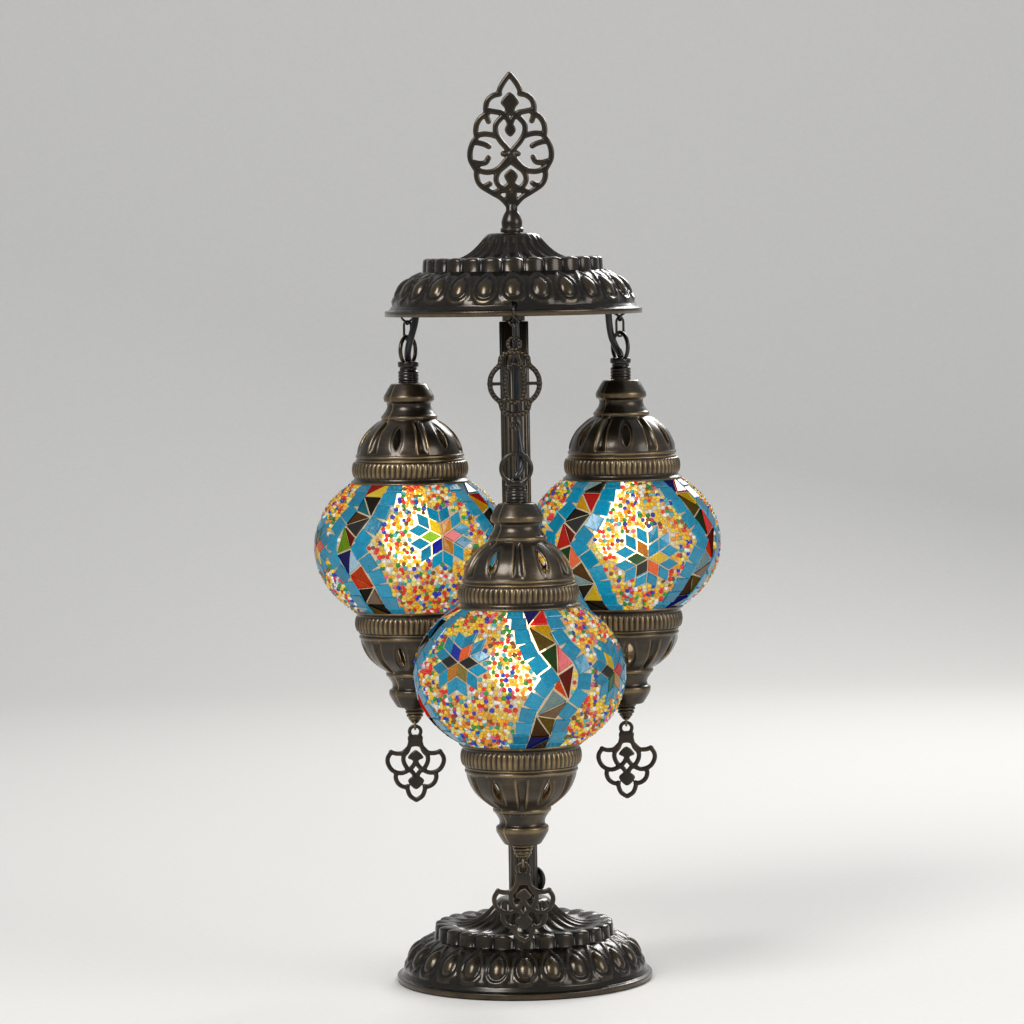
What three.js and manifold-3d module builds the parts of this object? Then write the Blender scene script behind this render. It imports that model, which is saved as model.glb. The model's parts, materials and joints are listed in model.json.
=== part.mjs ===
// A mosaic glass table lamp: three bead-and-tile globes with pierced bronze caps hang on short
// chains from a fluted canopy, above a matching fluted foot. Millimetres, +Z up, front is -Y.
// The origin is the middle of the felt's underside, on the axis of the post.
import * as THREE from "three";
import { mergeVertices } from "three/addons/utils/BufferGeometryUtils.js";
import Module from "manifold-3d";

const wasm = await Module();
wasm.setup();

// ---- Driving dimensions ----
const clearance = 0.3; // between pieces that touch

const dishRadius = 77.5; // the foot and the canopy are the same stamping
const dishHeight = 49;
const dishWall = 1.2;
const flangeHeight = 3.2;
const rimLift = 0.6; // the foot's rim clears the table by this much

const padRadius = 72;
const padThickness = 2;
const weightRadius = 58;
const weightThickness = 12;

const pipeRadius = 5; // threaded pipe through foot, post and canopy
const pipeBore = 3.4;
const postRadius = pipeRadius + 4;
const postWall = 1.2;
const postReeds = 16;
const reedDepth = 0.8;
const postLength = 349;
const canopyRise = 4.1; // the canopy's rim above the post's top
const canopyRimZ = rimLift + dishHeight + clearance + postLength + canopyRise;
const neckRadius = pipeRadius + 1.85;
const neckWall = 1;
const nutHeight = 4;

const bushingRadius = 7.6; // rubber bushing where the mains lead leaves the post
const bushingReach = postRadius + 3.9;
const bushingRise = 9.5; // above the foot's top
const bushingTurn = 32; // degrees behind the right side

const hangRadius = 75; // post axis to each lamp's axis
const sideLampZ = canopyRimZ - 141; // equator of the two rear globes
const frontLampZ = canopyRimZ - 209.4;
const holeRise = 6.4; // chain hole above the canopy's rim
const chainHoleRadius = 2.5;
const linkPlay = 1.25; // between a link's wire and the lower edge of its hole

const wire = 0.75; // radius of the chain's wire
const linkHalfWidth = 2.5; // to the middle of the wire
const crossZ = canopyRimZ - 5.4; // bottom of the upper link

const leadRadius = 2.1;
const leadPortZ = canopyRimZ + 29; // where the leads leave the neck

const sideGlobeRadius = 59.7;
const frontGlobeRadius = 62.6;
const globeHalfHeight = 47.8;
const globeWall = 4;
const globeNeckRadius = 30.5;
const globeNeckTop = 45;
const globeNeckWall = 2.5;

const capLipRadius = 36.5;
const capHeight = 60.6;
const capWall = 1.2;
const ventCount = 6;
const ventWidth = 4.6;
const ventHeight = 9.5;
const ventRise = 26.5;

const nippleRadius = 4.3;
const capHole = nippleRadius + clearance;
const nippleBore = 3;
const holderRadius = 13.5;
const holderBottom = 42;
const holderTop = 77;
const socketRadius = 7.4;
const bulbRadius = 18;
const bulbZ = 5;

const hangerHeight = 13.3;
const hangerRadius = nippleRadius + 1.95;
const hangerBore = 2.8;
const ringRadius = 8.8; // to the middle of the hanger's ring
const ringWire = 1.2;
const ringRise = 6.6; // ring centre above the hanger's collar

const barWidth = 2 * nippleRadius + 3.4;
const barThickness = 1.2;
const rodRadius = 2.1;
const acornRadius = 6.4;
const acornLength = 10;
const eyeRadius = 2.9;
const eyeWire = 0.65;

const pendantThickness = 2.2;
const pendantStroke = 2.2;
const finialThickness = 3.2;
const finialStroke = 3;
const finialBaseZ = canopyRimZ + dishHeight + clearance;
const ornamentZ = canopyRimZ - 39.2;
const ornamentThickness = 2;
const ornamentStroke = 2.6;

// capTurn is how far one vent of the lamp's caps stands to the right of the front, in degrees.
const lamps = [
  { name: "front", azimuth: -90, z: frontLampZ, globe: frontGlobeRadius, capTurn: 30 },
  { name: "right", azimuth: 30, z: sideLampZ, globe: sideGlobeRadius, capTurn: 4 },
  { name: "left", azimuth: 150, z: sideLampZ, globe: sideGlobeRadius, capTurn: -14 },
];

// ---- Materials, one per mesh ----
const finishes = {
  bronze: { color: 0x3a2c1e, roughness: 0.38, metalness: 0.9 },
  blackened: { color: 0x14120f, roughness: 0.42, metalness: 0.8 },
  steel: { color: 0x8f9194, roughness: 0.35, metalness: 1 },
  iron: { color: 0x3c3c3c, roughness: 0.8, metalness: 0.6 },
  felt: { color: 0x1c1c1e, roughness: 1, metalness: 0 },
  rubber: { color: 0x161616, roughness: 0.7, metalness: 0 },
  cable: { color: 0x101012, roughness: 0.5, metalness: 0 },
  holder: { color: 0x1b1b1b, roughness: 0.45, metalness: 0 },
  bulb: { color: 0xfff2d6, roughness: 0.25, metalness: 0 },
  mosaic: { color: 0x2aa6c8, roughness: 0.3, metalness: 0 },
};

const root = new THREE.Group();

function piece(name, geometry, finish, parent = root) {
  const mesh = new THREE.Mesh(geometry, new THREE.MeshStandardMaterial(finishes[finish]));
  mesh.name = name;
  parent.add(mesh);
  return mesh;
}

// ---- Solids ----
function toSolid(geometry) {
  const bare = geometry.clone();
  bare.deleteAttribute("normal");
  bare.deleteAttribute("uv");
  const merged = mergeVertices(bare, 1e-3);
  return new wasm.Manifold(
    new wasm.Mesh({
      numProp: 3,
      vertProperties: new Float32Array(merged.attributes.position.array),
      triVerts: new Uint32Array(merged.index.array),
    }),
  );
}

function toGeometry(solid) {
  const mesh = solid.getMesh();
  const geometry = new THREE.BufferGeometry();
  geometry.setAttribute("position", new THREE.BufferAttribute(mesh.vertProperties, 3));
  geometry.setIndex(new THREE.BufferAttribute(mesh.triVerts, 1));
  return geometry.toNonIndexed();
}

function join(geometries) {
  return toGeometry(geometries.map(toSolid).reduce((all, next) => all.add(next)));
}

function cut(geometry, tools) {
  return toGeometry(tools.map(toSolid).reduce((left, tool) => left.subtract(tool), toSolid(geometry)));
}

// Turned piece about Z. The profile of [radius, z] pairs runs from the top down its outside.
function turned(profile, sides) {
  const points = profile.map(([radius, z]) => new THREE.Vector2(Math.max(radius, 0), z));
  const area = points.reduce((sum, p, i) => {
    const q = points[(i + 1) % points.length];
    return sum + p.x * q.y - q.x * p.y;
  }, 0);
  if (area < 0) points.reverse();
  const onAxis = points.some((p) => p.x === 0);
  if (!onAxis) points.push(points[0].clone());
  else while (points[0].x !== 0 || points.at(-1).x !== 0) points.push(points.shift());
  const geometry = new THREE.LatheGeometry(points, sides);
  geometry.rotateX(Math.PI / 2);
  return geometry;
}

function tube(outer, inner, bottom, top, sides = 14) {
  return turned([[outer, top], [outer, bottom], [inner, bottom], [inner, top]], sides);
}

function rod(radius, bottom, top, sides = 12) {
  const geometry = new THREE.CylinderGeometry(radius, radius, top - bottom, sides);
  geometry.rotateX(Math.PI / 2);
  geometry.translate(0, 0, (top + bottom) / 2);
  return geometry;
}

// Every second point of an outline, and both its ends.
const thinned = (outline) => outline.filter((_, i) => i % 2 === 0 || i === outline.length - 1);

// The same outline moved inwards, to the left of its direction, by a wall's thickness.
function inset(outline, wall) {
  return outline.map(([x, y], i) => {
    const [ax, ay] = outline[Math.max(i - 1, 0)];
    const [bx, by] = outline[Math.min(i + 1, outline.length - 1)];
    const length = Math.hypot(bx - ax, by - ay);
    return [x - (wall * (by - ay)) / length, y + (wall * (bx - ax)) / length];
  });
}

// Flat strip of one width that follows an open line of [x, z] points, thick along Y.
function ribbon(line, width, thickness) {
  const left = inset(line, width / 2);
  const right = inset(line, -width / 2);
  return plate([...left, ...right.reverse()], thickness);
}

function plate(outline, thickness) {
  const shape = new THREE.Shape(outline.map(([x, z]) => new THREE.Vector2(x, z)));
  const geometry = new THREE.ExtrudeGeometry(shape, { depth: thickness, bevelEnabled: false });
  geometry.translate(0, 0, -thickness / 2);
  geometry.rotateX(Math.PI / 2);
  return geometry;
}

// A round disc or a flat ring standing in the XZ plane.
function disc(x, z, radius, thickness, sides = 8) {
  const geometry = new THREE.CylinderGeometry(radius, radius, thickness, sides);
  geometry.translate(x, 0, z);
  return geometry;
}

function flatRing(x, z, outer, inner, thickness, sides = 12) {
  const half = thickness / 2;
  const ring = turned([[outer, half], [outer, -half], [inner, -half], [inner, half]], sides);
  ring.rotateX(Math.PI / 2);
  ring.translate(x, 0, z);
  return ring;
}

const mirrored = (line) => line.map(([x, z]) => [-x, z]);

// Pierced casting: strands on both sides of its middle line, joined with its solid spots.
function filigree(strands, solids, stroke, thickness) {
  const bands = strands.flatMap((line) => [
    ribbon(line, stroke, thickness),
    ribbon(mirrored(line), stroke, thickness),
  ]);
  return join([...bands, ...solids]);
}

// Round wire bent into a closed loop through points in space.
function wireLoop(points, radius, steps = 14, sides = 5) {
  const curve = new THREE.CatmullRomCurve3(points.map((p) => new THREE.Vector3(...p)), true);
  return new THREE.TubeGeometry(curve, steps, radius, sides, true);
}

function lead(points, steps) {
  const section = new THREE.Shape();
  section.absarc(0, 0, leadRadius, 0, 2 * Math.PI);
  const path = new THREE.CatmullRomCurve3(points.map((p) => new THREE.Vector3(...p)));
  return new THREE.ExtrudeGeometry(section, { steps, extrudePath: path, curveSegments: 4 });
}

// ---- Stand ----
// Outside of the stamping, rim to crown: flange, step, bell, upright collar, valley, cone, crown.
const bellShape = [
  [0.938, 0.18], [0.89, 0.3], [0.735, 0.515], [0.705, 0.53],
  [0.7, 0.67], [0.665, 0.706], [0.385, 0.71], [0.3, 0.82], [0.2, 1],
];

function dish(bottom) {
  const outside = [
    [dishRadius, 0],
    [dishRadius, flangeHeight],
    [dishRadius * 0.966, flangeHeight + 0.6],
    ...bellShape.map(([r, z]) => [r * dishRadius, z * dishHeight]),
    [pipeRadius + clearance, dishHeight],
  ];
  const inside = inset(outside, dishWall);
  inside[0] = [dishRadius - dishWall, 0];
  inside[inside.length - 1] = [pipeRadius + clearance, dishHeight - dishWall];
  const crown = inside.splice(-3);
  const wall = [...outside, ...[...thinned(inside), ...crown].reverse()];
  return turned(wall.map(([r, z]) => [r, z + bottom]), 22);
}

const footTop = rimLift + dishHeight;
const postBottom = footTop + clearance;
const postTop = postBottom + postLength;
const canopyTop = canopyRimZ + dishHeight;

piece("foot_dish", dish(rimLift), "bronze");
piece("felt_pad", turned([[0, padThickness], [padRadius, padThickness], [padRadius, 0], [0, 0]], 26), "felt");

const weightBottom = padThickness + nutHeight + 2 * clearance;
const weightTop = weightBottom + weightThickness;
piece(
  "foot_weight",
  tube(weightRadius, pipeRadius + clearance, weightBottom, weightTop, 20),
  "iron",
);
const nutBottom = padThickness + clearance;
const nutBore = rod(pipeRadius + clearance, 0, weightTop);
piece("foot_nut", cut(rod(9, nutBottom, nutBottom + nutHeight, 6), [nutBore]), "steel");

// The lead's way out of the post is a round hole through its wall, behind and to the right.
const bushingAngle = THREE.MathUtils.degToRad(bushingTurn);
const bushingZ = postBottom + bushingRise;
const bushingStem = 5;
const bushingEnd = pipeRadius + 1.3;

function towards(geometry, angle, z) {
  geometry.rotateY(Math.PI / 2);
  geometry.rotateZ(angle);
  geometry.translate(0, 0, z);
  return geometry;
}

function reededTube() {
  const around = 3 * postReeds;
  const outline = Array.from({ length: around }, (_, i) => {
    const radius = i % 3 === 0 ? postRadius - reedDepth : postRadius;
    const angle = (2 * Math.PI * i) / around;
    return new THREE.Vector2(radius * Math.cos(angle), radius * Math.sin(angle));
  });
  const shape = new THREE.Shape(outline);
  const bore = new THREE.Path();
  bore.absarc(0, 0, postRadius - reedDepth - postWall, 0, 2 * Math.PI, true);
  shape.holes.push(bore);
  const tubeShape = { depth: postLength, bevelEnabled: false, curveSegments: 6 };
  const geometry = new THREE.ExtrudeGeometry(shape, tubeShape);
  geometry.translate(0, 0, postBottom);
  return geometry;
}

const exitHole = towards(rod(bushingStem + clearance, 5.5, 12, 12), bushingAngle, bushingZ);
piece("post_tube", cut(reededTube(), [exitHole]), "blackened");

const bushingProfile = [
  [2.6, bushingEnd], [bushingStem, bushingEnd], [bushingStem, postRadius + clearance],
  [bushingRadius, postRadius + clearance], [bushingRadius, bushingReach - 2.2],
  [bushingRadius - 2.2, bushingReach - 0.4], [4.4, bushingReach], [2.6, bushingReach - 0.6],
];
piece("cord_bushing", towards(turned(bushingProfile, 12), bushingAngle, bushingZ), "rubber");

const neckBottom = postTop + clearance;
const neckTop = canopyTop - dishWall - clearance; // the canopy rests on it under the finial
const ports = lamps.map((lamp) =>
  towards(rod(leadRadius + 0.5, 4, 9, 8), THREE.MathUtils.degToRad(lamp.azimuth), leadPortZ),
);
piece(
  "canopy_neck",
  cut(tube(neckRadius, neckRadius - neckWall, neckBottom, neckTop), ports),
  "blackened",
);

const pipeTop = finialBaseZ + 3.4;
piece("threaded_pipe", tube(pipeRadius, pipeBore, padThickness + 2 * clearance, pipeTop), "steel");

const chainHoles = lamps.map((lamp) =>
  towards(
    rod(chainHoleRadius, dishRadius - 9, dishRadius + 2, 8),
    THREE.MathUtils.degToRad(lamp.azimuth),
    canopyRimZ + holeRise,
  ),
);
piece("canopy_dish", cut(dish(canopyRimZ), chainHoles), "bronze");

// ---- Finial: a turned bulb that carries a pierced leaf ----
const finialStrands = [
  [[0, 94.6], [3.2, 90.5], [5.6, 86.5], [6.6, 83.2]],
  [[6, 83], [10, 82], [13.2, 79.3], [14.4, 75.5], [14.3, 71]],
  [[13.5, 71.5], [17.5, 69], [20, 65.2], [20.7, 61], [20.2, 57.5]],
  [[19.8, 58], [22.6, 54], [24.3, 49], [24, 43.5], [20.8, 37.6]],
  [[20.5, 38.5], [20.6, 33.5], [18.4, 28.6], [12, 24.3], [6.5, 21], [2.2, 16.5]],
  [[14.4, 73.4], [9, 72.4], [4.6, 71.4], [1.8, 68.4], [0.2, 65]],
  [[0, 74], [2.4, 71], [5.6, 68.4], [8.6, 64.6], [8.6, 59.8], [6.2, 55], [2.6, 50.8], [0, 47.6]],
  [[20.4, 58.4], [16, 59.2], [12, 58.8], [8, 57.6]],
  [[0, 46.6], [3.2, 43], [6.8, 39], [11.5, 36.6], [16.5, 36.6], [21, 38.6]],
  [[21.6, 54.4], [18.4, 53.8], [15.4, 52.9], [13, 51.6]],
  [[22, 42.4], [18.6, 41.6], [15, 42.2], [13.4, 45]],
  [[0, 42.6], [3.4, 40], [7.4, 36.6], [9, 32.6], [8, 29], [5, 26.4], [0, 24.6]],
  [[0, 31], [1.8, 28.2], [4.4, 26.4]],
  [[10.6, 23.8], [7.4, 25], [4, 25.4]],
  [[14.4, 72], [13.8, 69], [13, 66.6]],
  [[17, 27.4], [14.6, 28.4], [12.8, 29.4]],
];

function finial() {
  const t = finialThickness;
  const solids = [
    plate([[0, 82.4], [-4.2, 78], [-2.6, 75.2], [-1.4, 72], [1.4, 72], [2.6, 75.2], [4.2, 78]], t),
    plate([[0, 66], [-2.6, 61.6], [0, 58.4], [2.6, 61.6]], t),
    plate([[0, 37], [-3.2, 34], [-1.2, 30], [1.2, 30], [3.2, 34]], t),
    plate([[-2.2, 12], [2.2, 12], [2.2, 26], [-2.2, 26]], t),
    disc(0, 46.8, 3.2, t + 1),
    disc(4.4, 47.2, 1.8, t),
    disc(-4.4, 47.2, 1.8, t),
    disc(0, 25, 2.8, t + 1),
  ];
  const leaf = filigree(finialStrands, solids, finialStroke, t);
  const bulbProfile = [
    [0, 17], [2.6, 17], [3, 14.6], [5, 10.5], [6.3, 6.5], [6, 3], [7, 2.3], [7, 0],
    [pipeRadius + clearance, 0], [pipeRadius + clearance, 4], [0, 4],
  ];
  const geometry = join([leaf, turned(bulbProfile, 14)]);
  geometry.translate(0, 0, finialBaseZ);
  return geometry;
}
piece("finial", finial(), "blackened");

// ---- Lamp pieces, in the lamp's own frame: its axis is Z and its equator is z = 0 ----
function globe(radius) {
  const shoulder = globeHalfHeight * Math.sqrt(1 - (globeNeckRadius / radius) ** 2);
  const rows = 6;
  const start = Math.asin(shoulder / globeHalfHeight);
  const arc = (a, b) =>
    Array.from({ length: rows + 1 }, (_, i) => {
      const angle = start * (1 - (2 * i) / rows);
      return [a * Math.cos(angle), b * Math.sin(angle)];
    });
  const outside = arc(radius, globeHalfHeight);
  const neckBore = globeNeckRadius - globeNeckWall;
  const inside = arc(radius - globeWall, globeHalfHeight - globeWall)
    .filter(([r]) => r > neckBore + 1)
    .reverse();
  const innerZ = inside.at(-1)[1];
  const profile = [
    [globeNeckRadius, globeNeckTop],
    ...outside,
    [globeNeckRadius, -globeNeckTop],
    [neckBore, -globeNeckTop],
    [neckBore, -innerZ - 1],
    ...inside,
    [neckBore, innerZ + 1],
    [neckBore, globeNeckTop],
  ];
  return turned(profile, 16);
}

// Height of the globe's skin under the cap's lip, where the cap sits.
function seat(radius) {
  const inner = capLipRadius - capWall;
  return globeHalfHeight * Math.sqrt(1 - (inner / radius) ** 2) + clearance;
}

// The cap's outside from lip to crown: bead ring, dome, collar, waist, neck ring, flat crown.
const capShape = [
  [0.975, 0.055], [0.965, 0.2], [0.905, 0.225], [0.895, 0.3], [0.83, 0.42], [0.71, 0.535],
  [0.46, 0.67], [0.46, 0.72], [0.362, 0.77], [0.433, 0.875], [0.425, 0.905], [0.315, 1],
];

function cap() {
  const outside = [
    [capLipRadius, 0],
    [capLipRadius, 1.4],
    ...capShape.map(([r, z]) => [r * capLipRadius, z * capHeight]),
    [capHole, capHeight],
  ];
  const inside = inset(outside, capWall);
  inside[0] = [capLipRadius - capWall, 0];
  inside[inside.length - 1] = [capHole, capHeight - capWall];
  const sides = 2 * ventCount; // a vent lies in the middle of every second facet
  const shell = turned([...outside, ...thinned(thinned(inside)).reverse()], sides);
  shell.rotateZ(Math.PI / sides);
  const vents = Array.from({ length: ventCount }, (_, i) => {
    const vent = rod(1, 17, 34, 4);
    vent.scale(ventHeight / 2, ventWidth / 2, 1);
    return towards(vent, (2 * Math.PI * i) / ventCount, ventRise);
  });
  return cut(shell, vents);
}

function hanger() {
  const top = hangerHeight;
  const grip = 8;
  const ribs = [0, 2, 4, 6];
  const profile = [
    [hangerRadius, top], [hangerRadius, top - 3.4], [hangerRadius - 1, top - 3.6],
    [hangerRadius - 1, grip - 0.6],
    ...ribs.map((z, i) => [hangerRadius + (i % 2 ? -0.5 : 0.2), 6 - z]),
    [nippleRadius + clearance, 0], [nippleRadius + clearance, 6.4],
    [hangerBore, 6.4], [hangerBore, top],
  ];
  const ring = new THREE.TorusGeometry(ringRadius, ringWire, 5, 16);
  ring.rotateX(Math.PI / 2);
  ring.rotateZ(Math.PI / 2);
  ring.translate(0, 0, top + ringRise);
  const body = turned(profile, 10);
  const passage = rod(hangerBore, 6.6, top + 4, 10);
  return cut(join([body, ring]), [passage]);
}

function lampHolder() {
  const profile = [
    [socketRadius, holderBottom], [holderRadius, holderBottom],
    [holderRadius, holderBottom + 16], [holderRadius - 1.5, holderBottom + 18],
    [holderRadius - 1.5, holderTop - 4], [holderRadius - 4, holderTop],
    [nippleRadius + clearance, holderTop], [nippleRadius + clearance, holderTop - 5],
    [hangerBore, holderTop - 5], [hangerBore, holderTop - 13], [socketRadius, holderTop - 13],
  ];
  return turned(profile, 14);
}

function bulb() {
  const screwTop = holderTop - 14;
  const round = Array.from({ length: 7 }, (_, i) => {
    const angle = -Math.PI / 2 + (i * Math.PI * 0.82) / 6;
    return [bulbRadius * Math.cos(angle), bulbZ + bulbRadius * Math.sin(angle)];
  });
  round[0][0] = 0;
  const screw = socketRadius - 0.8;
  return turned(
    [...round, [screw + 1.6, holderBottom - 10], [screw + 1.6, holderBottom - 1],
      [screw, holderBottom], [screw, screwTop - 3], [3, screwTop], [0, screwTop]],
    14,
  );
}

// Spring bar that grips the inside of the globe's neck, with a hole for the rod or nipple.
// The line is its outside, and side says on which hand the metal lies.
function springBar(line, side, hole) {
  const inner = inset(line, side * barThickness);
  const strip = plate([...line, ...inner.reverse()], barWidth);
  const zs = line.map(([, z]) => z);
  return cut(strip, [rod(hole, Math.min(...zs) - 5, Math.max(...zs) + 5)]);
}

const gripX = globeNeckRadius - globeNeckWall - barThickness - clearance;
const topBarZ = holderTop + clearance + barThickness;
const bottomBarZ = -globeNeckTop - 0.4;
const topBarLine = [
  [-gripX, 38], [-gripX, 58], [-11.5, topBarZ], [11.5, topBarZ], [gripX, 58], [gripX, 38],
];
const bottomBarLine = [[-gripX, -34], [-gripX, bottomBarZ], [gripX, bottomBarZ], [gripX, -34]];

function tieRod(bottom) {
  const head = bottomBarZ + barThickness + clearance;
  const profile = [
    [0, head + 2.6], [4.2, head + 2.6], [4.2, head], [rodRadius, head], [rodRadius, bottom], [0, bottom],
  ];
  return turned(profile, 8);
}

// Acorn nut with three ribs, and a wire eye below it that stands in the YZ plane.
function acornNut() {
  const r = acornRadius;
  const profile = [
    [rodRadius + clearance, 0], [r, 0], [r, -1.6], [r - 1, -2.2], [r - 0.6, -3], [r - 1, -3.8],
    [r - 0.9, -4.8], [r - 2, -7], [2.6, -acornLength + 0.6], [0, -acornLength],
    [0, -6.4], [rodRadius + clearance, -6.4],
  ];
  const eye = new THREE.TorusGeometry(eyeRadius, eyeWire, 5, 12);
  eye.rotateY(Math.PI / 2);
  eye.translate(0, 0, -acornLength + 0.6 - eyeRadius + 1.6);
  return join([turned(profile, 10), eye]);
}

// Pierced pendant, with the middle of its top ring as its own origin.
const pendantStrands = [
  [[3, -9], [6.8, -13.6], [7.4, -18.6], [5.2, -22.8], [2, -25.2], [0, -29.4]],
  [[4.4, -9.8], [9.6, -13.3], [15.4, -12.4]],
  [[14.8, -12.2], [17.2, -17.6], [14.4, -23.8], [9.4, -25.6], [4.8, -24], [0, -19]],
  [[12, -25], [12.5, -28.6], [10, -33.2], [5, -34.2]],
  [[5.4, -33.6], [4.6, -38.2], [0, -42.4]],
];

function pendant() {
  const t = pendantThickness;
  const solids = [
    flatRing(0, 0, 4.4, 2.4, t),
    plate([[-3.2, -3.2], [-3.6, -7], [-4.4, -9.4], [0, -8.6], [4.4, -9.4], [3.6, -7], [3.2, -3.2]], t),
    plate([[0, -12.4], [-3.9, -16], [-1.5, -17.6], [-1, -20], [1, -20], [1.5, -17.6], [3.9, -16]], t),
    plate([[0, -34.8], [-4, -30.8], [-1.2, -28], [1.2, -28], [4, -30.8]], t),
  ];
  return filigree(pendantStrands, solids, pendantStroke, t);
}

// ---- Chains ----
const pivotZ = canopyRimZ + holeRise - chainHoleRadius + wire + linkPlay;

// Oval link in the radial plane, between two heights of its wire's middle.
function oval(top, bottom) {
  const w = linkHalfWidth;
  const bend = w * 0.8;
  return wireLoop(
    [
      [0, 0, top], [w * 0.8, 0, top - bend * 0.5], [w, 0, top - bend * 1.4],
      [w, 0, top - bend * 2], [w, 0, bottom + bend * 2], [w, 0, bottom + bend * 1.4],
      [w * 0.8, 0, bottom + bend * 0.5], [0, 0, bottom], [-w * 0.8, 0, bottom + bend * 0.5],
      [-w, 0, bottom + bend * 1.4], [-w, 0, bottom + bend * 2], [-w, 0, top - bend * 2],
      [-w, 0, top - bend * 1.4], [-w * 0.8, 0, top - bend * 0.5],
    ],
    wire,
  );
}

// Rim link: through the rim's hole in the radial plane, then twisted a quarter turn.
function rimLink() {
  const out = dishRadius - hangRadius + wire + 1;
  const w = linkHalfWidth;
  return wireLoop(
    [
      [0, 0, pivotZ], [out * 0.85, 0, pivotZ - 0.9], [out, 0, pivotZ - 3.4], [out, 0.2, canopyRimZ],
      [2.4, 1.7, canopyRimZ - 2], [0.2, w, crossZ + 1.8], [0, 0, crossZ], [-0.2, -w, crossZ + 1.8],
      [-2.6, -1.7, canopyRimZ - 2], [-4.8, -0.2, canopyRimZ], [-4.6, 0, pivotZ - 3],
      [-3, 0, pivotZ - 0.3],
    ],
    wire,
    20,
  );
}

// ---- Hanging gear and lamps ----
const hangerZ = (lamp) => seat(lamp.globe) + capHeight + clearance;
const ringTopZ = (lamp) =>
  lamp.z + hangerZ(lamp) + hangerHeight + ringRise + ringRadius;
const hookGap = (a, b) => a + b + 1.6 * clearance;

const lowerLinkTop = crossZ + hookGap(wire, wire);

// Leads, as points [outward from the post, sideways, z] in each lamp's radial frame.
const feedRoute = [
  [neckRadius - 0.4, 0, leadPortZ], [12, 0, leadPortZ - 0.4], [24, 0.2, leadPortZ - 4.5],
  [38, 0.4, leadPortZ - 10.5], [50, 0.6, leadPortZ - 14.5], [60, 0.8, leadPortZ - 16.6],
  [hangRadius - 10, 0.9, leadPortZ - 18.4], [hangRadius - 8.1, 1, leadPortZ - 21],
];

// A lead's drop from the canopy into its hanger. It starts inside the rim, and its other stations
// are [inward from the hanger's axis, sideways, share of the height from the hanger to the rim].
function dropRoute(stations, lamp) {
  const low = lamp.z + hangerZ(lamp) + hangerHeight;
  const route = stations.map(([inward, sideways, share]) => [
    hangRadius - inward,
    sideways,
    low + share * (canopyRimZ - low),
  ]);
  return [[hangRadius - 7.8, 1, canopyRimZ + holeRise], ...route];
}
const sideDrop = [
  [7.4, 1.4, 1.072], [6.4, 2.2, 0.803], [5, 3.2, 0.589], [3.6, 3.6, 0.428], [1.8, 2.7, 0.256],
  [0.3, 0.9, 0.127], [0, 0, 0.048],
];
const frontDrop = [
  [7.7, 1.1, 1], [7.8, 1.2, 0.885], [8.1, 1.2, 0.738], [8.2, 1.1, 0.57], [8, 1, 0.403],
  [7.4, 1.4, 0.277], [6, 2.6, 0.183], [3.8, 3.4, 0.104], [1.6, 2.4, 0.053], [0.3, 0.8, 0.034],
  [0, 0, 0.013],
];

const ornamentStrands = [
  [[0, 18], [4, 18], [7.6, 15.4], [8.6, 11], [9, 9.6]],
  [[8.6, 9.8], [12, 7.4], [14, 3.6], [14.4, 0], [14, -3.6], [12, -7.4], [8.6, -9.8]],
  [[9, -9.6], [8.6, -12.4], [7.2, -15.4], [4, -17.6], [0, -18]],
  [[0, 11.4], [3, 10], [5, 6], [5.6, 0], [5, -6], [3, -10], [0, -11.4]],
  [[4.4, 8.6], [7, 10], [9.4, 9.4]],
  [[4.4, -8.6], [7, -10], [9.4, -9.4]],
];
const ornamentTopRing = 23.4;
const ornamentTailRing = -24.3;

function ornament() {
  const t = ornamentThickness;
  const solids = [
    flatRing(0, ornamentTopRing, 4.6, 2.4, t),
    flatRing(0, ornamentTailRing, 3.3, 1.9, t),
    plate([[-1.1, -22], [1.1, -22], [1.1, -17], [-1.1, -17]], t),
    plate([[14, -2.4], [16.2, 0], [14, 2.4]], t),
    plate([[-14, 2.4], [-16.2, 0], [-14, -2.4]], t),
  ];
  const casting = filigree(ornamentStrands, solids, ornamentStroke, t);
  casting.rotateZ(Math.PI / 2);
  return casting;
}

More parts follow.
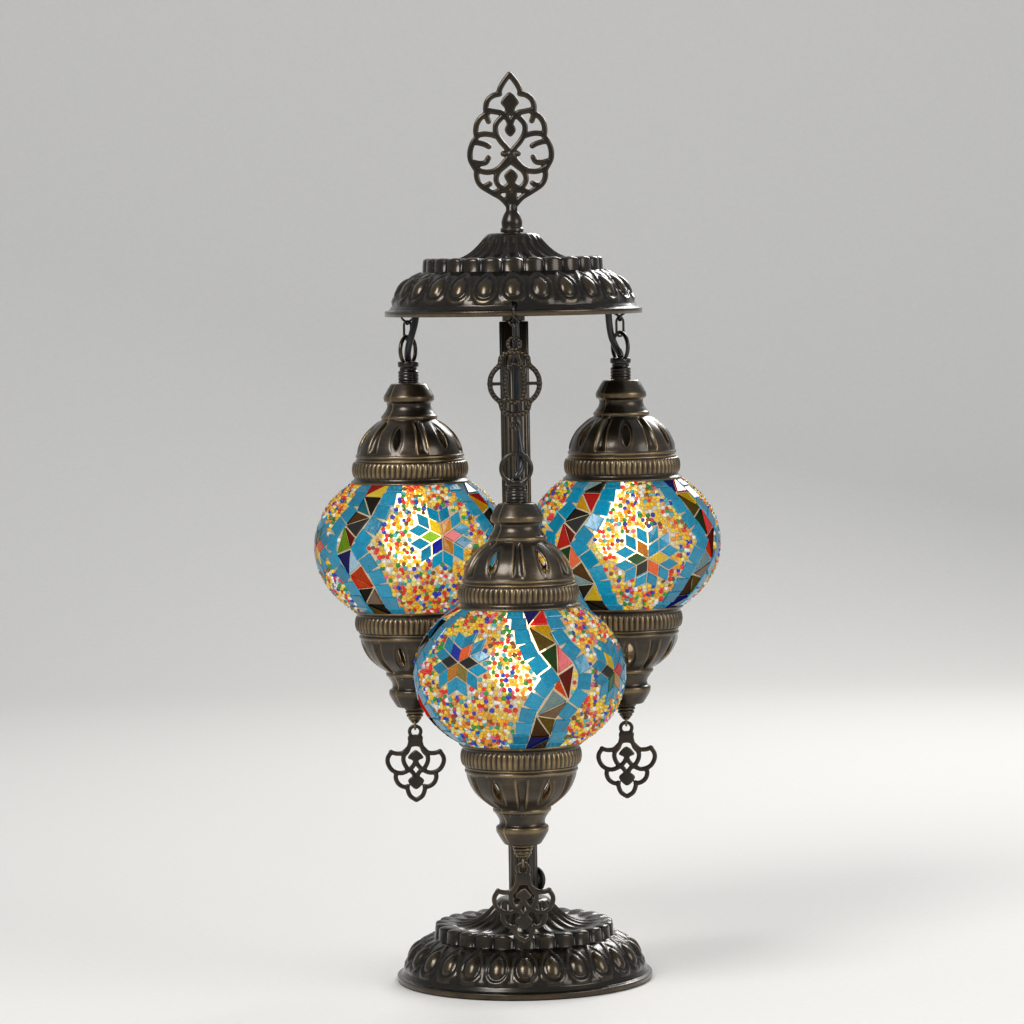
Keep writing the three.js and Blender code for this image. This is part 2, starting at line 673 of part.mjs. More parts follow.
for (const lamp of lamps) {
  const { name } = lamp;
  const gear = new THREE.Group(); // X points away from the post
  gear.rotation.z = THREE.MathUtils.degToRad(lamp.azimuth);
  const hung = new THREE.Group();
  hung.position.set(hangRadius, 0, 0);
  gear.add(hung);
  const body = new THREE.Group();
  body.position.set(hangRadius, 0, lamp.z);
  gear.add(body);
  root.add(gear);

  const ringHook = ringTopZ(lamp) - hookGap(ringWire, wire);
  piece(name + "_rim_link", rimLink(), "blackened", hung);
  if (name === "front") {
    const topRingInner = ornamentZ + ornamentTopRing + 2.4;
    const tailRingInner = ornamentZ + ornamentTailRing - 1.6;
    const casting = piece("front_ornament", ornament(), "bronze", hung);
    casting.position.z = ornamentZ;
    const slack = wire + 2 * clearance;
    piece("front_chain_link", oval(lowerLinkTop, topRingInner - slack), "blackened", hung);
    piece("front_tail_link", oval(tailRingInner + slack, ringHook), "blackened", hung);
  } else {
    piece(name + "_chain_link", oval(lowerLinkTop, ringHook), "blackened", hung);
  }
  piece(name + "_lead_feed", lead(feedRoute, 9), "cable", gear);
  const drop = dropRoute(name === "front" ? frontDrop : sideDrop, lamp);
  piece(name + "_lead_drop", lead(drop, name === "front" ? 18 : 12), "cable", gear);

  const capZ = seat(lamp.globe);
  const topCap = piece(name + "_top_cap", cap(), "bronze", body);
  const ventFacing = THREE.MathUtils.degToRad(lamp.capTurn - 90 - lamp.azimuth);
  topCap.position.z = capZ;
  topCap.rotation.z = ventFacing;
  const bottomCap = piece(name + "_bottom_cap", cap(), "bronze", body);
  bottomCap.rotation.set(Math.PI, 0, -ventFacing);
  bottomCap.position.z = -capZ;

  const hangerPiece = piece(name + "_hanger", hanger(), "blackened", body);
  hangerPiece.position.z = hangerZ(lamp);
  const nippleTop = hangerZ(lamp) + 6;
  piece(name + "_nipple", tube(nippleRadius, nippleBore, holderTop - 4.7, nippleTop, 14), "steel", body);
  piece(name + "_lamp_holder", lampHolder(), "holder", body);
  piece(name + "_bulb", bulb(), "bulb", body);
  piece(name + "_globe", globe(lamp.globe), "mosaic", body);
  piece(name + "_top_spring_bar", springBar(topBarLine, -1, nippleRadius + clearance), "steel", body);
  piece(name + "_bottom_spring_bar", springBar(bottomBarLine, 1, rodRadius + clearance), "steel", body);

  const crownZ = -capZ - capHeight - clearance;
  piece(name + "_tie_rod", tieRod(crownZ - 5.8), "steel", body);
  // The eye and its pendant face the front of the whole lamp.
  const facing = -gear.rotation.z;
  const nut = piece(name + "_acorn_nut", acornNut(), "bronze", body);
  nut.position.z = crownZ;
  nut.rotation.z = facing;
  const charm = piece(name + "_pendant", pendant(), "blackened", body);
  const eyeBottom = crownZ - acornLength + 2.2 - 2 * eyeRadius;
  charm.position.z = eyeBottom - 1.45;
  charm.rotation.z = facing;
}

export default root;
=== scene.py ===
"""A mosaic glass table lamp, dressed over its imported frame: metal, mosaic glass, leads and stage."""

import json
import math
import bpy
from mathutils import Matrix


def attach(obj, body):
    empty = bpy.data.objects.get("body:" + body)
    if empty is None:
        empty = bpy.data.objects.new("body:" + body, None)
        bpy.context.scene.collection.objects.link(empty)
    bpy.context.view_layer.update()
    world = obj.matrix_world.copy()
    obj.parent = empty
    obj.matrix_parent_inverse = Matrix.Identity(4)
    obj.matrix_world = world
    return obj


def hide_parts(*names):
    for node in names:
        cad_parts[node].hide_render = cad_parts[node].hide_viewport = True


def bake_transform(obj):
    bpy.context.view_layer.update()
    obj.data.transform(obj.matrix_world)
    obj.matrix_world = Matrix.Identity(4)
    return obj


bl_info = {
    "name": "Mosaic Table Lamp",
    "version": (1, 0, 0),
    "blender": (4, 5, 0),
    "location": "3D View > Sidebar > Mosaic Lamp",
    "description": "Builds the metalwork, glass mosaic and leads of a three-globe table lamp",
    "category": "Object",
}

import bmesh
import bpy
import numpy as np
from mathutils import Vector

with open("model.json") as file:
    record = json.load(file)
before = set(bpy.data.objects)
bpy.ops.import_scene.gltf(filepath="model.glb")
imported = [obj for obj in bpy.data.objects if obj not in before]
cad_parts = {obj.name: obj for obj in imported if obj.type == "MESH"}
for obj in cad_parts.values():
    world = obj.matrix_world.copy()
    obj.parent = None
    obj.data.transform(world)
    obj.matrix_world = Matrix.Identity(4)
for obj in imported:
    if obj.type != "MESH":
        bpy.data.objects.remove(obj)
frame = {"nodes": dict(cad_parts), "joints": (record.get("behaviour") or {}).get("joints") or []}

MM = 0.001
TURN = 2 * math.pi
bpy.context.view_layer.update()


# ---- Places, read from the frame in millimetres ----
def node_points(node):
    """A CAD node's vertices as an array in millimetres."""
    mesh = frame["nodes"][node].data
    points = np.empty(len(mesh.vertices) * 3)
    mesh.vertices.foreach_get("co", points)
    return points.reshape(-1, 3) / MM


def low_high(node):
    points = node_points(node)
    return points.min(0), points.max(0)


class Lamp:
    """Where one hanging lamp is: its axis, its equator, its globe's radius and the way it faces."""

    def __init__(self, name, azimuth, vent_turn):
        self.name = name
        self.azimuth = math.radians(azimuth)
        self.vents = math.radians(vent_turn - 90)
        globe = node_points(name + "_globe")
        middle = (globe.min(0) + globe.max(0)) / 2
        self.x, self.y, self.z = middle
        self.radius = np.hypot(globe[:, 0] - self.x, globe[:, 1] - self.y).max()
        self.cap_lip = low_high(name + "_top_cap")[0][2] - self.z
        self.cap_crown = low_high(name + "_top_cap")[1][2] - self.z
        self.centre = np.array(middle)

    def body(self, part):
        return f"{self.name}_{part}"


LAMPS = [Lamp("front", -90, 30), Lamp("right", 30, 4), Lamp("left", 150, -14)]


# ---- Settings ----
class LampSizes(bpy.types.PropertyGroup):
    """Sizes that change the look without leaving the frame."""

    lobes: bpy.props.IntProperty(
        name="Lobes", description="Teardrop lobes and scallops round a dish", default=26, min=6)
    flutes: bpy.props.IntProperty(
        name="Flutes", description="Hollow flutes round a dish's cone", default=24, min=6)
    reeds: bpy.props.IntProperty(
        name="Reeds", description="Reeds round the post", default=16, min=6)
    ribs: bpy.props.IntProperty(
        name="Ribs", description="Ribs round a cap's bead ring", default=66, min=12)
    bead: bpy.props.FloatProperty(
        name="Bead", description="Diameter of a glass seed bead", default=0.0031,
        subtype="DISTANCE", unit="LENGTH")
    tile: bpy.props.FloatProperty(
        name="Tile", description="Side of a square glass tile", default=0.0089,
        subtype="DISTANCE", unit="LENGTH")
    rhomb: bpy.props.FloatProperty(
        name="Rhomb", description="Side of a rhombus in a star", default=0.0079,
        subtype="DISTANCE", unit="LENGTH")
    grout: bpy.props.FloatProperty(
        name="Joint", description="Width of the joint between two tiles", default=0.0008,
        subtype="DISTANCE", unit="LENGTH")
    seed: bpy.props.IntProperty(
        name="Seed", description="Seed of the scattered beads", default=11)


class LampColours(bpy.types.PropertyGroup):
    """The colours a user would change."""

    bronze: bpy.props.FloatVectorProperty(
        name="Bronze", description="Oxidised bronze of dishes and caps", size=3,
        subtype="COLOR", default=(0.024, 0.0175, 0.0115))
    worn: bpy.props.FloatVectorProperty(
        name="Worn bronze", description="Bronze where it is rubbed bare", size=3,
        subtype="COLOR", default=(0.36, 0.245, 0.11))
    black: bpy.props.FloatVectorProperty(
        name="Blackened metal", description="Post, chains and finial", size=3,
        subtype="COLOR", default=(0.012, 0.0105, 0.009))
    lamp_light: bpy.props.FloatVectorProperty(
        name="Lamp light", description="Colour of the bulbs", size=3,
        subtype="COLOR", default=(1.0, 0.83, 0.58))
    # Glow scales the painted glow: emission on the mosaic glass standing in for the bulbs' light
    glow: bpy.props.FloatProperty(
        name="Glow", description="Brightness of the lit mosaic", default=1.0, min=0)


def sizes():
    return bpy.context.scene.mosaic_lamp_sizes


def colours():
    return bpy.context.scene.mosaic_lamp_colours


# ---- Shapes: a part is (points in mm, [(faces, uvs per corner), ...]) ----
def ways(azimuth):
    """Level unit vectors outward at an azimuth and a quarter turn on from it."""
    cos, sin = math.cos(azimuth), math.sin(azimuth)
    return np.array([cos, sin, 0]), np.array([-sin, cos, 0])


def grid_part(points, around=False, ends=False):
    """Quads between neighbouring rows and columns of an array of points.

    around closes the columns and ends closes the rows. U runs along a row and V up the first
    column, both as lengths in millimetres.
    """
    rows, columns = points.shape[:2]
    i = np.arange(rows if ends else rows - 1)[:, None]
    j = np.arange(columns if around else columns - 1)[None, :]

    def corner(a, b):
        return (a % rows) * columns + b % columns + 0 * (i + j)

    quads = np.stack([corner(i, j), corner(i, j + 1), corner(i + 1, j + 1), corner(i + 1, j)], -1)
    step_v = np.linalg.norm(np.diff(np.concatenate([points[:, 0], points[:1, 0]]), axis=0), axis=1)
    v = np.concatenate([[0], np.cumsum(step_v)])
    across = np.linalg.norm(np.diff(points, axis=1), axis=2).sum(1).max() / max(columns - 1, 1)

    def place(a, b):
        return np.stack(np.broadcast_arrays(b * across, v[a]), -1)

    uvs = np.stack([place(i, j), place(i, j + 1), place(i + 1, j + 1), place(i + 1, j)], -2)
    return points.reshape(-1, 3), [(quads.reshape(-1, 4), uvs.reshape(-1, 4, 2))]


def fan_part(ring, tip, flip=False):
    """Triangles from each side of a closed ring of points to one tip."""
    count = len(ring)
    j = np.arange(count)
    faces = np.stack([j, (j + 1) % count, np.full(count, count)], -1)
    if flip:
        faces = faces[:, ::-1]
    points = np.vstack([ring, tip])
    return points, [(faces, points[faces][:, :, :2])]


def joined(parts):
    """One part of many, without merging points."""
    points, groups, start = [], [], 0
    for part_points, part_groups in parts:
        points.append(part_points)
        groups += [(faces + start, uvs) for faces, uvs in part_groups]
        start += len(part_points)
    return np.vstack(points), groups


def moved(part, offset):
    return part[0] + np.asarray(offset, float), part[1]


def upended(part):
    """The part turned half a turn about X, so that up becomes down."""
    return part[0] * [1, -1, -1], part[1]


def lathe(profile, segments=72, ripple=None):
    """Each profile point [r, z] carried round Z as (r cos a, r sin a, z).

    The profile runs up the outside. Ends on the axis become tips, and a profile that leaves the
    axis closes on itself. ripple moves the grid of points (rows, angles) before it is meshed.
    """
    profile = np.asarray(profile, float)
    low_tip, high_tip = profile[0, 0] < 1e-6, profile[-1, 0] < 1e-6
    body = profile[1 if low_tip else 0: len(profile) - 1 if high_tip else None]
    angle = np.arange(segments) * TURN / segments
    radius = np.broadcast_to(body[:, :1], (len(body), segments))
    height = np.broadcast_to(body[:, 1:], (len(body), segments))
    if ripple:
        radius, height = ripple(body, angle)
    grid = np.stack([radius * np.cos(angle), radius * np.sin(angle), height], -1)
    parts = [grid_part(grid, around=True, ends=not (low_tip or high_tip))]
    if low_tip:
        parts.append(fan_part(grid[0], [0, 0, profile[0, 1]], flip=True))
    if high_tip:
        parts.append(fan_part(grid[-1], [0, 0, profile[-1, 1]]))
    return joined(parts)


def eased(profile, radius=0.4, steps=3):
    """The profile with each corner turned into a short curve that leaves it radius away."""
    profile = np.asarray(profile, float)
    out = [profile[:1]]
    for before, corner, after in zip(profile, profile[1:], profile[2:]):
        back, on = before - corner, after - corner
        reach = min(radius, 0.45 * np.linalg.norm(back), 0.45 * np.linalg.norm(on))
        start = corner + back * reach / max(np.linalg.norm(back), 1e-9)
        end = corner + on * reach / max(np.linalg.norm(on), 1e-9)
        t = np.linspace(0, 1, steps)[:, None]
        out.append((1 - t) ** 2 * start + 2 * t * (1 - t) * corner + t ** 2 * end)
    out.append(profile[-1:])
    return np.vstack(out)


def smooth_line(points, steps, closed=False):
    """Catmull-Rom curve through the points, at steps places evenly spaced along its length."""
    points = np.asarray(points, float)
    if closed:
        padded = np.vstack([points[-1:], points, points[:2]])
    else:
        padded = np.vstack([2 * points[0] - points[1], points, 2 * points[-1] - points[-2]])
    t = np.linspace(0, 1, 16, endpoint=False)[:, None, None]
    a, b, c, d = padded[:-3], padded[1:-2], padded[2:-1], padded[3:]
    curve = 0.5 * (2 * b + (c - a) * t + (2 * a - 5 * b + 4 * c - d) * t ** 2
                   + (3 * b - a - 3 * c + d) * t ** 3)
    curve = curve.transpose(1, 0, 2).reshape(-1, points.shape[1])
    curve = np.vstack([curve, points[:1] if closed else points[-1:]])
    length = np.concatenate([[0], np.cumsum(np.linalg.norm(np.diff(curve, axis=0), axis=1))])
    at = np.linspace(0, length[-1], steps, endpoint=not closed)
    return np.stack([np.interp(at, length, column) for column in curve.T], -1)


def sweep(path, width, thickness, up=None, closed=False, sides=12, square=1.0):
    """A rounded section carried along a path, with rounded ends where it is open.

    The section is (width/2 cos^square, thickness/2 sin^square), so square below 1 makes it boxier.
    up is the direction of its thickness; without it the section is carried with no twist.
    """
    path = np.asarray(path, float)
    if closed:
        tangent = np.roll(path, -1, 0) - np.roll(path, 1, 0)
    else:
        tangent = np.gradient(path, axis=0)
    tangent /= np.linalg.norm(tangent, axis=1)[:, None]
    if up is None:
        ups = [np.cross(tangent[0], [0.31, 0.83, 0.47])]
        for direction in tangent[1:]:
            ups.append(ups[-1] - direction * (ups[-1] @ direction))
        ups = np.array(ups)
    else:
        ups = np.broadcast_to(np.asarray(up, float), path.shape)
    side = np.cross(tangent, ups)
    side /= np.linalg.norm(side, axis=1)[:, None]
    ups = np.cross(side, tangent)
    scale = np.ones(len(path))
    if not closed:
        bend = np.array([0.05, 0.5, 0.87])
        reach = np.sqrt(1 - bend ** 2)[:, None] * min(width, thickness) / 2
        path = np.vstack([path[0] - tangent[0] * reach, path, path[-1] + tangent[-1] * reach[::-1]])
        side = np.vstack([side[[0] * 3], side, side[[-1] * 3]])
        ups = np.vstack([ups[[0] * 3], ups, ups[[-1] * 3]])
        scale = np.concatenate([bend, scale, bend[::-1]])
    angle = np.arange(sides) * TURN / sides
    across = width / 2 * np.sign(np.cos(angle)) * np.abs(np.cos(angle)) ** square
    deep = thickness / 2 * np.sign(np.sin(angle)) * np.abs(np.sin(angle)) ** square
    scale = scale[:, None, None]
    grid = path[:, None] + scale * (across[:, None] * side[:, None] + deep[:, None] * ups[:, None])
    parts = [grid_part(grid, around=True, ends=closed)]
    if not closed:
        parts += [fan_part(grid[0], path[0], flip=True), fan_part(grid[-1], path[-1])]
    return joined(parts)


def pillow(outline, thickness, steps=40, grow=1.0):
    """A small flat casting: rings of its [x, z] outline drawn in towards the middle, front and back."""
    line = smooth_line(outline, steps, closed=True)
    middle = line.mean(0)
    line = middle + (line - middle) * grow
    shrink = np.array([0.45, 0.86, 1, 1, 0.86, 0.45])[:, None, None]
    depth = np.array([-0.5, -0.5, -0.3, 0.3, 0.5, 0.5]) * thickness
    flat = middle + (line - middle) * shrink
    grid = np.stack([flat[..., 0], np.broadcast_to(depth[:, None], flat.shape[:2]), flat[..., 1]], -1)
    tips = [[middle[0], depth[0], middle[1]], [middle[0], depth[-1], middle[1]]]
    return joined([grid_part(grid, around=True), fan_part(grid[0], tips[0], True),
                   fan_part(grid[-1], tips[1])])


def flat_ring(x, z, outer, inner, thickness):
    """A round ring standing in the XZ plane: a boxy section swept round a circle."""
    angle = np.arange(48) * TURN / 48
    middle = (outer + inner) / 2
    path = np.stack([x + middle * np.cos(angle), 0 * angle, z + middle * np.sin(angle)], -1)
    return sweep(path, outer - inner, thickness, up=(0, 1, 0), closed=True, square=0.7)


def ball_template(rows=5, segments=8):
    """Unit sphere as a lathe of few faces, for shapes that repeat many times."""
    angle = np.linspace(-math.pi / 2, math.pi / 2, rows + 1)
    return lathe(np.stack([np.cos(angle).clip(0), np.sin(angle)], -1), segments)


def copies(part, frames, centres):
    """The part turned by each 3x3 frame (its columns are the new axes) and moved to each centre."""
    points, groups = part
    placed = np.einsum("nij,pj->npi", frames, points) + centres[:, None]
    shift = np.arange(len(centres))[:, None, None] * len(points)
    out = []
    for faces, uvs in groups:
        out.append(((faces[None] + shift).reshape(-1, faces.shape[1]),
                    np.tile(uvs, (len(centres), 1, 1))))
    return placed.reshape(-1, 3), out


def make(name, part, material, offset=(0, 0, 0), smooth=True, turn_out=True, sharp=None):
    """A mesh object of the part, in metres, with its UV map, in the scene's own frame."""
    points, groups = part
    groups = [(faces, uvs) for faces, uvs in groups if len(faces)]
    corners = np.concatenate([faces.ravel() for faces, _ in groups])
    totals = np.concatenate([np.full(len(faces), faces.shape[1]) for faces, _ in groups])
    mesh = bpy.data.meshes.new(name)
    mesh.vertices.add(len(points))
    mesh.vertices.foreach_set("co", ((points + np.asarray(offset, float)) * MM).ravel())
    mesh.loops.add(len(corners))
    mesh.loops.foreach_set("vertex_index", corners)
    mesh.polygons.add(len(totals))
    mesh.polygons.foreach_set("loop_start", np.cumsum(totals) - totals)
    mesh.polygons.foreach_set("use_smooth", np.full(len(totals), smooth))
    uv_map = mesh.uv_layers.new(name="UVMap")
    uv_map.data.foreach_set("uv", np.concatenate([uvs.reshape(-1, 2) for _, uvs in groups]).ravel() * MM)
    mesh.update(calc_edges=True)
    mesh.validate()
    if turn_out:
        work = bmesh.new()
        work.from_mesh(mesh)
        bmesh.ops.remove_doubles(work, verts=work.verts, dist=1e-7)
        bmesh.ops.recalc_face_normals(work, faces=work.faces)
        work.to_mesh(mesh)
        work.free()
    if sharp is not None:
        mesh.set_sharp_from_angle(angle=math.radians(sharp))
    mesh.materials.append(material)
    piece = bpy.data.objects.new(name, mesh)
    bpy.context.scene.collection.objects.link(piece)
    return piece


def dress(piece, body, slot, *nodes):
    """The piece rides on a body and stands for CAD nodes, which it hides; slot is not used."""
    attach(piece, body)
    if nodes:
        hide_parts(*nodes)
    return piece


def applied(piece, kind, **values):
    """A modifier added and applied at once."""
    modifier = piece.modifiers.new(kind.title(), kind)
    for key, value in values.items():
        setattr(modifier, key, value)
    bpy.context.view_layer.objects.active = piece
    with bpy.context.temp_override(object=piece, active_object=piece, selected_objects=[piece]):
        bpy.ops.object.modifier_apply(modifier=modifier.name)


def cut(piece, part, offset=(0, 0, 0)):
    """Takes the shape of a part out of the piece."""
    drill = make("drill", part, piece.data.materials[0], offset)
    applied(piece, "BOOLEAN", operation="DIFFERENCE", object=drill, solver="EXACT")
    bpy.data.objects.remove(drill)


def fused(piece, voxel, rounds):
    """Crossing strands grown into one casting with soft inner corners."""
    applied(piece, "REMESH", mode="VOXEL", voxel_size=voxel * MM, use_smooth_shade=True)
    applied(piece, "SMOOTH", factor=0.5, iterations=rounds)


# ---- Materials ----
class Nodes:
    """Short names for wiring one node material."""

    def __init__(self, name):
        self.material = bpy.data.materials.new(name)
        self.material.use_nodes = True
        self.tree = self.material.node_tree
        self.tree.nodes.clear()
        self.out = self.tree.nodes.new("ShaderNodeOutputMaterial")

    def node(self, kind, inputs=None, **settings):
        made = self.tree.nodes.new("ShaderNode" + kind)
        for key, value in settings.items():
            setattr(made, key, value)
        for key, value in (inputs or {}).items():
            if isinstance(value, bpy.types.NodeSocket):
                self.tree.links.new(value, made.inputs[key])
            else:
                made.inputs[key].default_value = value
        return made

    def coordinates(self, which, scale=(1, 1, 1), offset=(0, 0, 0)):
        source = self.node("TexCoord").outputs[which]
        return self.node("Mapping", {"Vector": source, "Scale": scale, "Location": offset}).outputs[0]

    def noise(self, vector, scale, detail=3.0, roughness=0.5):
        values = {"Vector": vector, "Scale": scale, "Detail": detail, "Roughness": roughness}
        return self.node("TexNoise", values).outputs["Fac"]

    def ramp(self, value, low, high, to_low=0.0, to_high=1.0):
        return self.node("MapRange", {"Value": value, "From Min": low, "From Max": high,
                                      "To Min": to_low, "To Max": to_high}).outputs[0]

    def blend(self, share, a, b, mode="MIX"):
        made = self.node("Mix", data_type="RGBA", blend_type=mode)
        for key, value in ((0, share), (6, a), (7, b)):
            if isinstance(value, bpy.types.NodeSocket):
                self.tree.links.new(value, made.inputs[key])
            else:
                made.inputs[key].default_value = value
        return made.outputs[2]

    def math(self, operation, a, b=0.0, clamp=False):
        return self.node("Math", {0: a, 1: b}, operation=operation, use_clamp=clamp).outputs[0]

    def bump(self, height, strength, distance, normal=None):
        values = {"Height": height, "Strength": strength, "Distance": distance}
        if normal is not None:
            values["Normal"] = normal
        return self.node("Bump", values).outputs[0]

    def shade(self, values):
        shader = self.node("BsdfPrincipled", values)
        self.tree.links.new(shader.outputs[0], self.out.inputs[0])
        return self.material


def rgba(colour):
    return (*colour, 1.0)


def worn_metal(name, base, worn, wear, rough=0.34, brushing=0.5):
    """Oxidised metal: streaked along U by brushing, mottled, and rubbed bright on its ridges.

    Ridges are where the wear attribute is high or the surface is sharply convex.
    """
    n = Nodes(name)
    streaks = n.noise(n.coordinates("UV", (60, 3600, 1)), 1.0, 2.0)
    place = n.coordinates("Object")
    mottle = n.noise(place, 55, 5.0, 0.6)
    specks = n.noise(place, 900, 2.0)
    ridge = n.node("NewGeometry").outputs["Pointiness"]
    raised = n.node("Attribute", attribute_name="wear").outputs["Fac"]
    rubbed = n.math("MAXIMUM", n.ramp(ridge, 0.505, 0.57), raised)
    patchy = n.math("MULTIPLY", rubbed, n.ramp(mottle, 0.28, 0.6, 0.25, 1.0))
    thin = n.math("MULTIPLY", n.ramp(mottle, 0.45, 0.72), 0.18)
    share = n.math("MULTIPLY", n.math("ADD", patchy, thin), wear, clamp=True)
    brushed = n.blend(n.ramp(streaks, 0.3, 0.7, 0.0, brushing), rgba(base),
                      rgba([min(1, c * 2.4 + 0.004) for c in base]))
    colour = n.blend(share, brushed, rgba(worn))
    colour = n.blend(n.ramp(ridge, 0.42, 0.5), rgba([c * 0.3 for c in base]), colour)
    gloss = n.math("ADD", n.ramp(streaks, 0.25, 0.75, rough - 0.07, rough + 0.1),
                   n.ramp(mottle, 0.3, 0.7, 0.06, -0.05))
    marks = n.bump(streaks, 0.16, 0.00012)
    marks = n.bump(specks, 0.1, 0.00008, marks)
    return n.shade({"Base Color": colour, "Metallic": 0.88, "Roughness": gloss, "Normal": marks,
                    "Coat Weight": 0.45, "Coat Roughness": 0.16})


def plain_metal(name, colour, rough):
    """Bare metal with fine machining marks along U and a little tarnish."""
    n = Nodes(name)
    marks = n.noise(n.coordinates("UV", (80, 5200, 1)), 1.0, 2.0)
    tarnish = n.noise(n.coordinates("Object"), 140, 4.0, 0.6)
    tone = n.blend(n.ramp(tarnish, 0.35, 0.75, 0.0, 0.6), rgba(colour),
                   rgba([c * 0.45 for c in colour]))
    gloss = n.ramp(marks, 0.3, 0.7, rough - 0.06, rough + 0.1)
    return n.shade({"Base Color": tone, "Metallic": 1.0, "Roughness": gloss,
                    "Normal": n.bump(marks, 0.2, 0.0001)})


def soft_material(name, colour, rough, grain, depth):
    """Rubber, cable or moulded plastic: fine pebbled grain and slight dusting."""
    n = Nodes(name)
    place = n.coordinates("Object")
    pebbles = n.noise(place, grain, 3.0)
    dust = n.noise(place, 70, 4.0, 0.6)
    tone = n.blend(n.ramp(dust, 0.4, 0.8, 0.0, 0.35), rgba(colour),
                   rgba([c * 1.8 + 0.01 for c in colour]))
    return n.shade({"Base Color": tone, "Roughness": n.ramp(dust, 0.3, 0.7, rough - 0.05, rough + 0.1),
                    "Normal": n.bump(pebbles, 0.25, depth)})


def felt_material():
    """Pressed felt: short fibres as stretched noise, with sheen."""
    n = Nodes("felt")
    fibres = n.noise(n.coordinates("Object", (1, 1, 2)), 2600, 4.0, 0.7)
    tone = n.blend(fibres, rgba((0.012, 0.012, 0.013)), rgba((0.05, 0.05, 0.052)))
    return n.shade({"Base Color": tone, "Roughness": 0.95, "Sheen Weight": 0.5,
                    "Normal": n.bump(fibres, 0.6, 0.0004)})


def iron_material():
    """Sand-cast iron: coarse grain under thin black paint."""
    n = Nodes("cast_iron")
    grain = n.noise(n.coordinates("Object"), 420, 5.0, 0.65)
    tone = n.blend(grain, rgba((0.02, 0.02, 0.021)), rgba((0.09, 0.088, 0.085)))
    return n.shade({"Base Color": tone, "Metallic": 0.5, "Roughness": n.ramp(grain, 0.3, 0.7, 0.55, 0.8),
                    "Normal": n.bump(grain, 0.7, 0.0006)})


def glass_with_painted_glow(name, through, glow, gloss, grain, pale):
    """Coloured glass over a lamp: it has painted glow in its own colour, an emission that
    stands in for the bulb's light coming through it, and it lets the bulb show through.

    The colour comes from the piece's own attribute. The painted glow is brightest where the
    glass faces the camera and falls to about a fifth where it is seen edge on, so the rims of
    the globe and of each bead are painted darker. Its back faces let light straight in, so the
    bulb is seen through one wall only.
    pale is how far the light that comes straight through is left without colour.
    """
    n = Nodes(name)
    tone = n.node("Attribute", attribute_name="tone").outputs["Color"]
    place = n.coordinates("Object")
    swirl = n.noise(place, grain, 3.0, 0.6)
    fleck = n.noise(place, 1500, 2.0)
    lighter = n.blend(n.ramp(swirl, 0.35, 0.75, 0.0, 0.5), tone, rgba((1, 1, 1)), "SOFT_LIGHT")
    shaded = n.blend(n.ramp(fleck, 0.3, 0.65, 0.4, 0.0), lighter, rgba((0.0, 0.0, 0.0)))
    # painted shade: the glow falls where the glass is seen edge on, darkening rims by the view
    facing = n.node("LayerWeight", {"Blend": 0.5}).outputs["Facing"]
    strength = n.math("MULTIPLY", n.ramp(facing, 0.1, 0.95, 1.0, 0.18), glow)
    # painted glow: the emission stands in for the bulb's light shining through the glass
    skin = n.node("BsdfPrincipled", {
        "Base Color": n.blend(0.85, shaded, rgba((0, 0, 0))), "Roughness": gloss, "Coat Weight": 0.25,
        "Coat Roughness": 0.08, "Emission Color": shaded, "Emission Strength": strength,
        "Normal": n.bump(swirl, 0.4, 0.0003)})
    clear = n.node("BsdfTransparent", {"Color": n.blend(pale, shaded, rgba((1, 1, 1)))})
    back = n.node("NewGeometry").outputs["Backfacing"]
    share = n.math("MAXIMUM", back, through)
    mixed = n.node("MixShader", {0: share, 1: skin.outputs[0], 2: clear.outputs[0]})
    n.tree.links.new(mixed.outputs[0], n.out.inputs[0])
    return n.material


def bulb_material(strength):
    """Lit bulb: even white-hot glass."""
    n = Nodes("lit_bulb")
    return n.shade({"Base Color": rgba((1, 0.9, 0.75)), "Roughness": 0.2,
                    "Emission Color": rgba(colours().lamp_light), "Emission Strength": strength})


MATERIALS = {}


def material(name):
    """Each finish is made once, when it is first asked for."""
    if name not in MATERIALS:
        c = colours()
        dark_bronze, dark_worn = [v * 0.5 for v in c.bronze], [v * 0.4 for v in c.worn]
        makers = {
            "bronze": lambda: worn_metal("antique_bronze", c.bronze, c.worn, 0.8),
            "dish": lambda: worn_metal("dish_bronze", dark_bronze, dark_worn, 0.55, 0.27, 0.4),
            "black": lambda: worn_metal("blackened_metal", c.black, dark_worn, 0.3, 0.33, 0.4),
            "filigree": lambda: worn_metal("filigree_metal", dark_bronze, c.worn, 0.45, 0.33),
            "steel": lambda: plain_metal("steel", (0.5, 0.5, 0.5), 0.32),
            "iron": iron_material,
            "felt": felt_material,
            "rubber": lambda: soft_material("rubber", (0.012, 0.012, 0.012), 0.6, 1400, 0.0001),
            "cable": lambda: soft_material("cable", (0.008, 0.008, 0.01), 0.3, 2600, 0.00004),
            "holder": lambda: soft_material("holder", (0.012, 0.011, 0.011), 0.4, 1800, 0.00005),
            # bead, tile and grout glass carry painted glow: emission standing in for the bulb's light
            "bead": lambda: glass_with_painted_glow("glass_beads", 0.22, 0.95 * c.glow, 0.12, 900, 0.15),
            "tile": lambda: glass_with_painted_glow("glass_tiles", 0.1, 0.75 * c.glow, 0.16, 260, 0.05),
            "grout": lambda: glass_with_painted_glow("frosted_glass", 0.28, 0.6 * c.glow, 0.5, 500, 0.35),
            "bulb": lambda: bulb_material(16.0),
        }
        MATERIALS[name] = makers[name]()
    return MATERIALS[name]


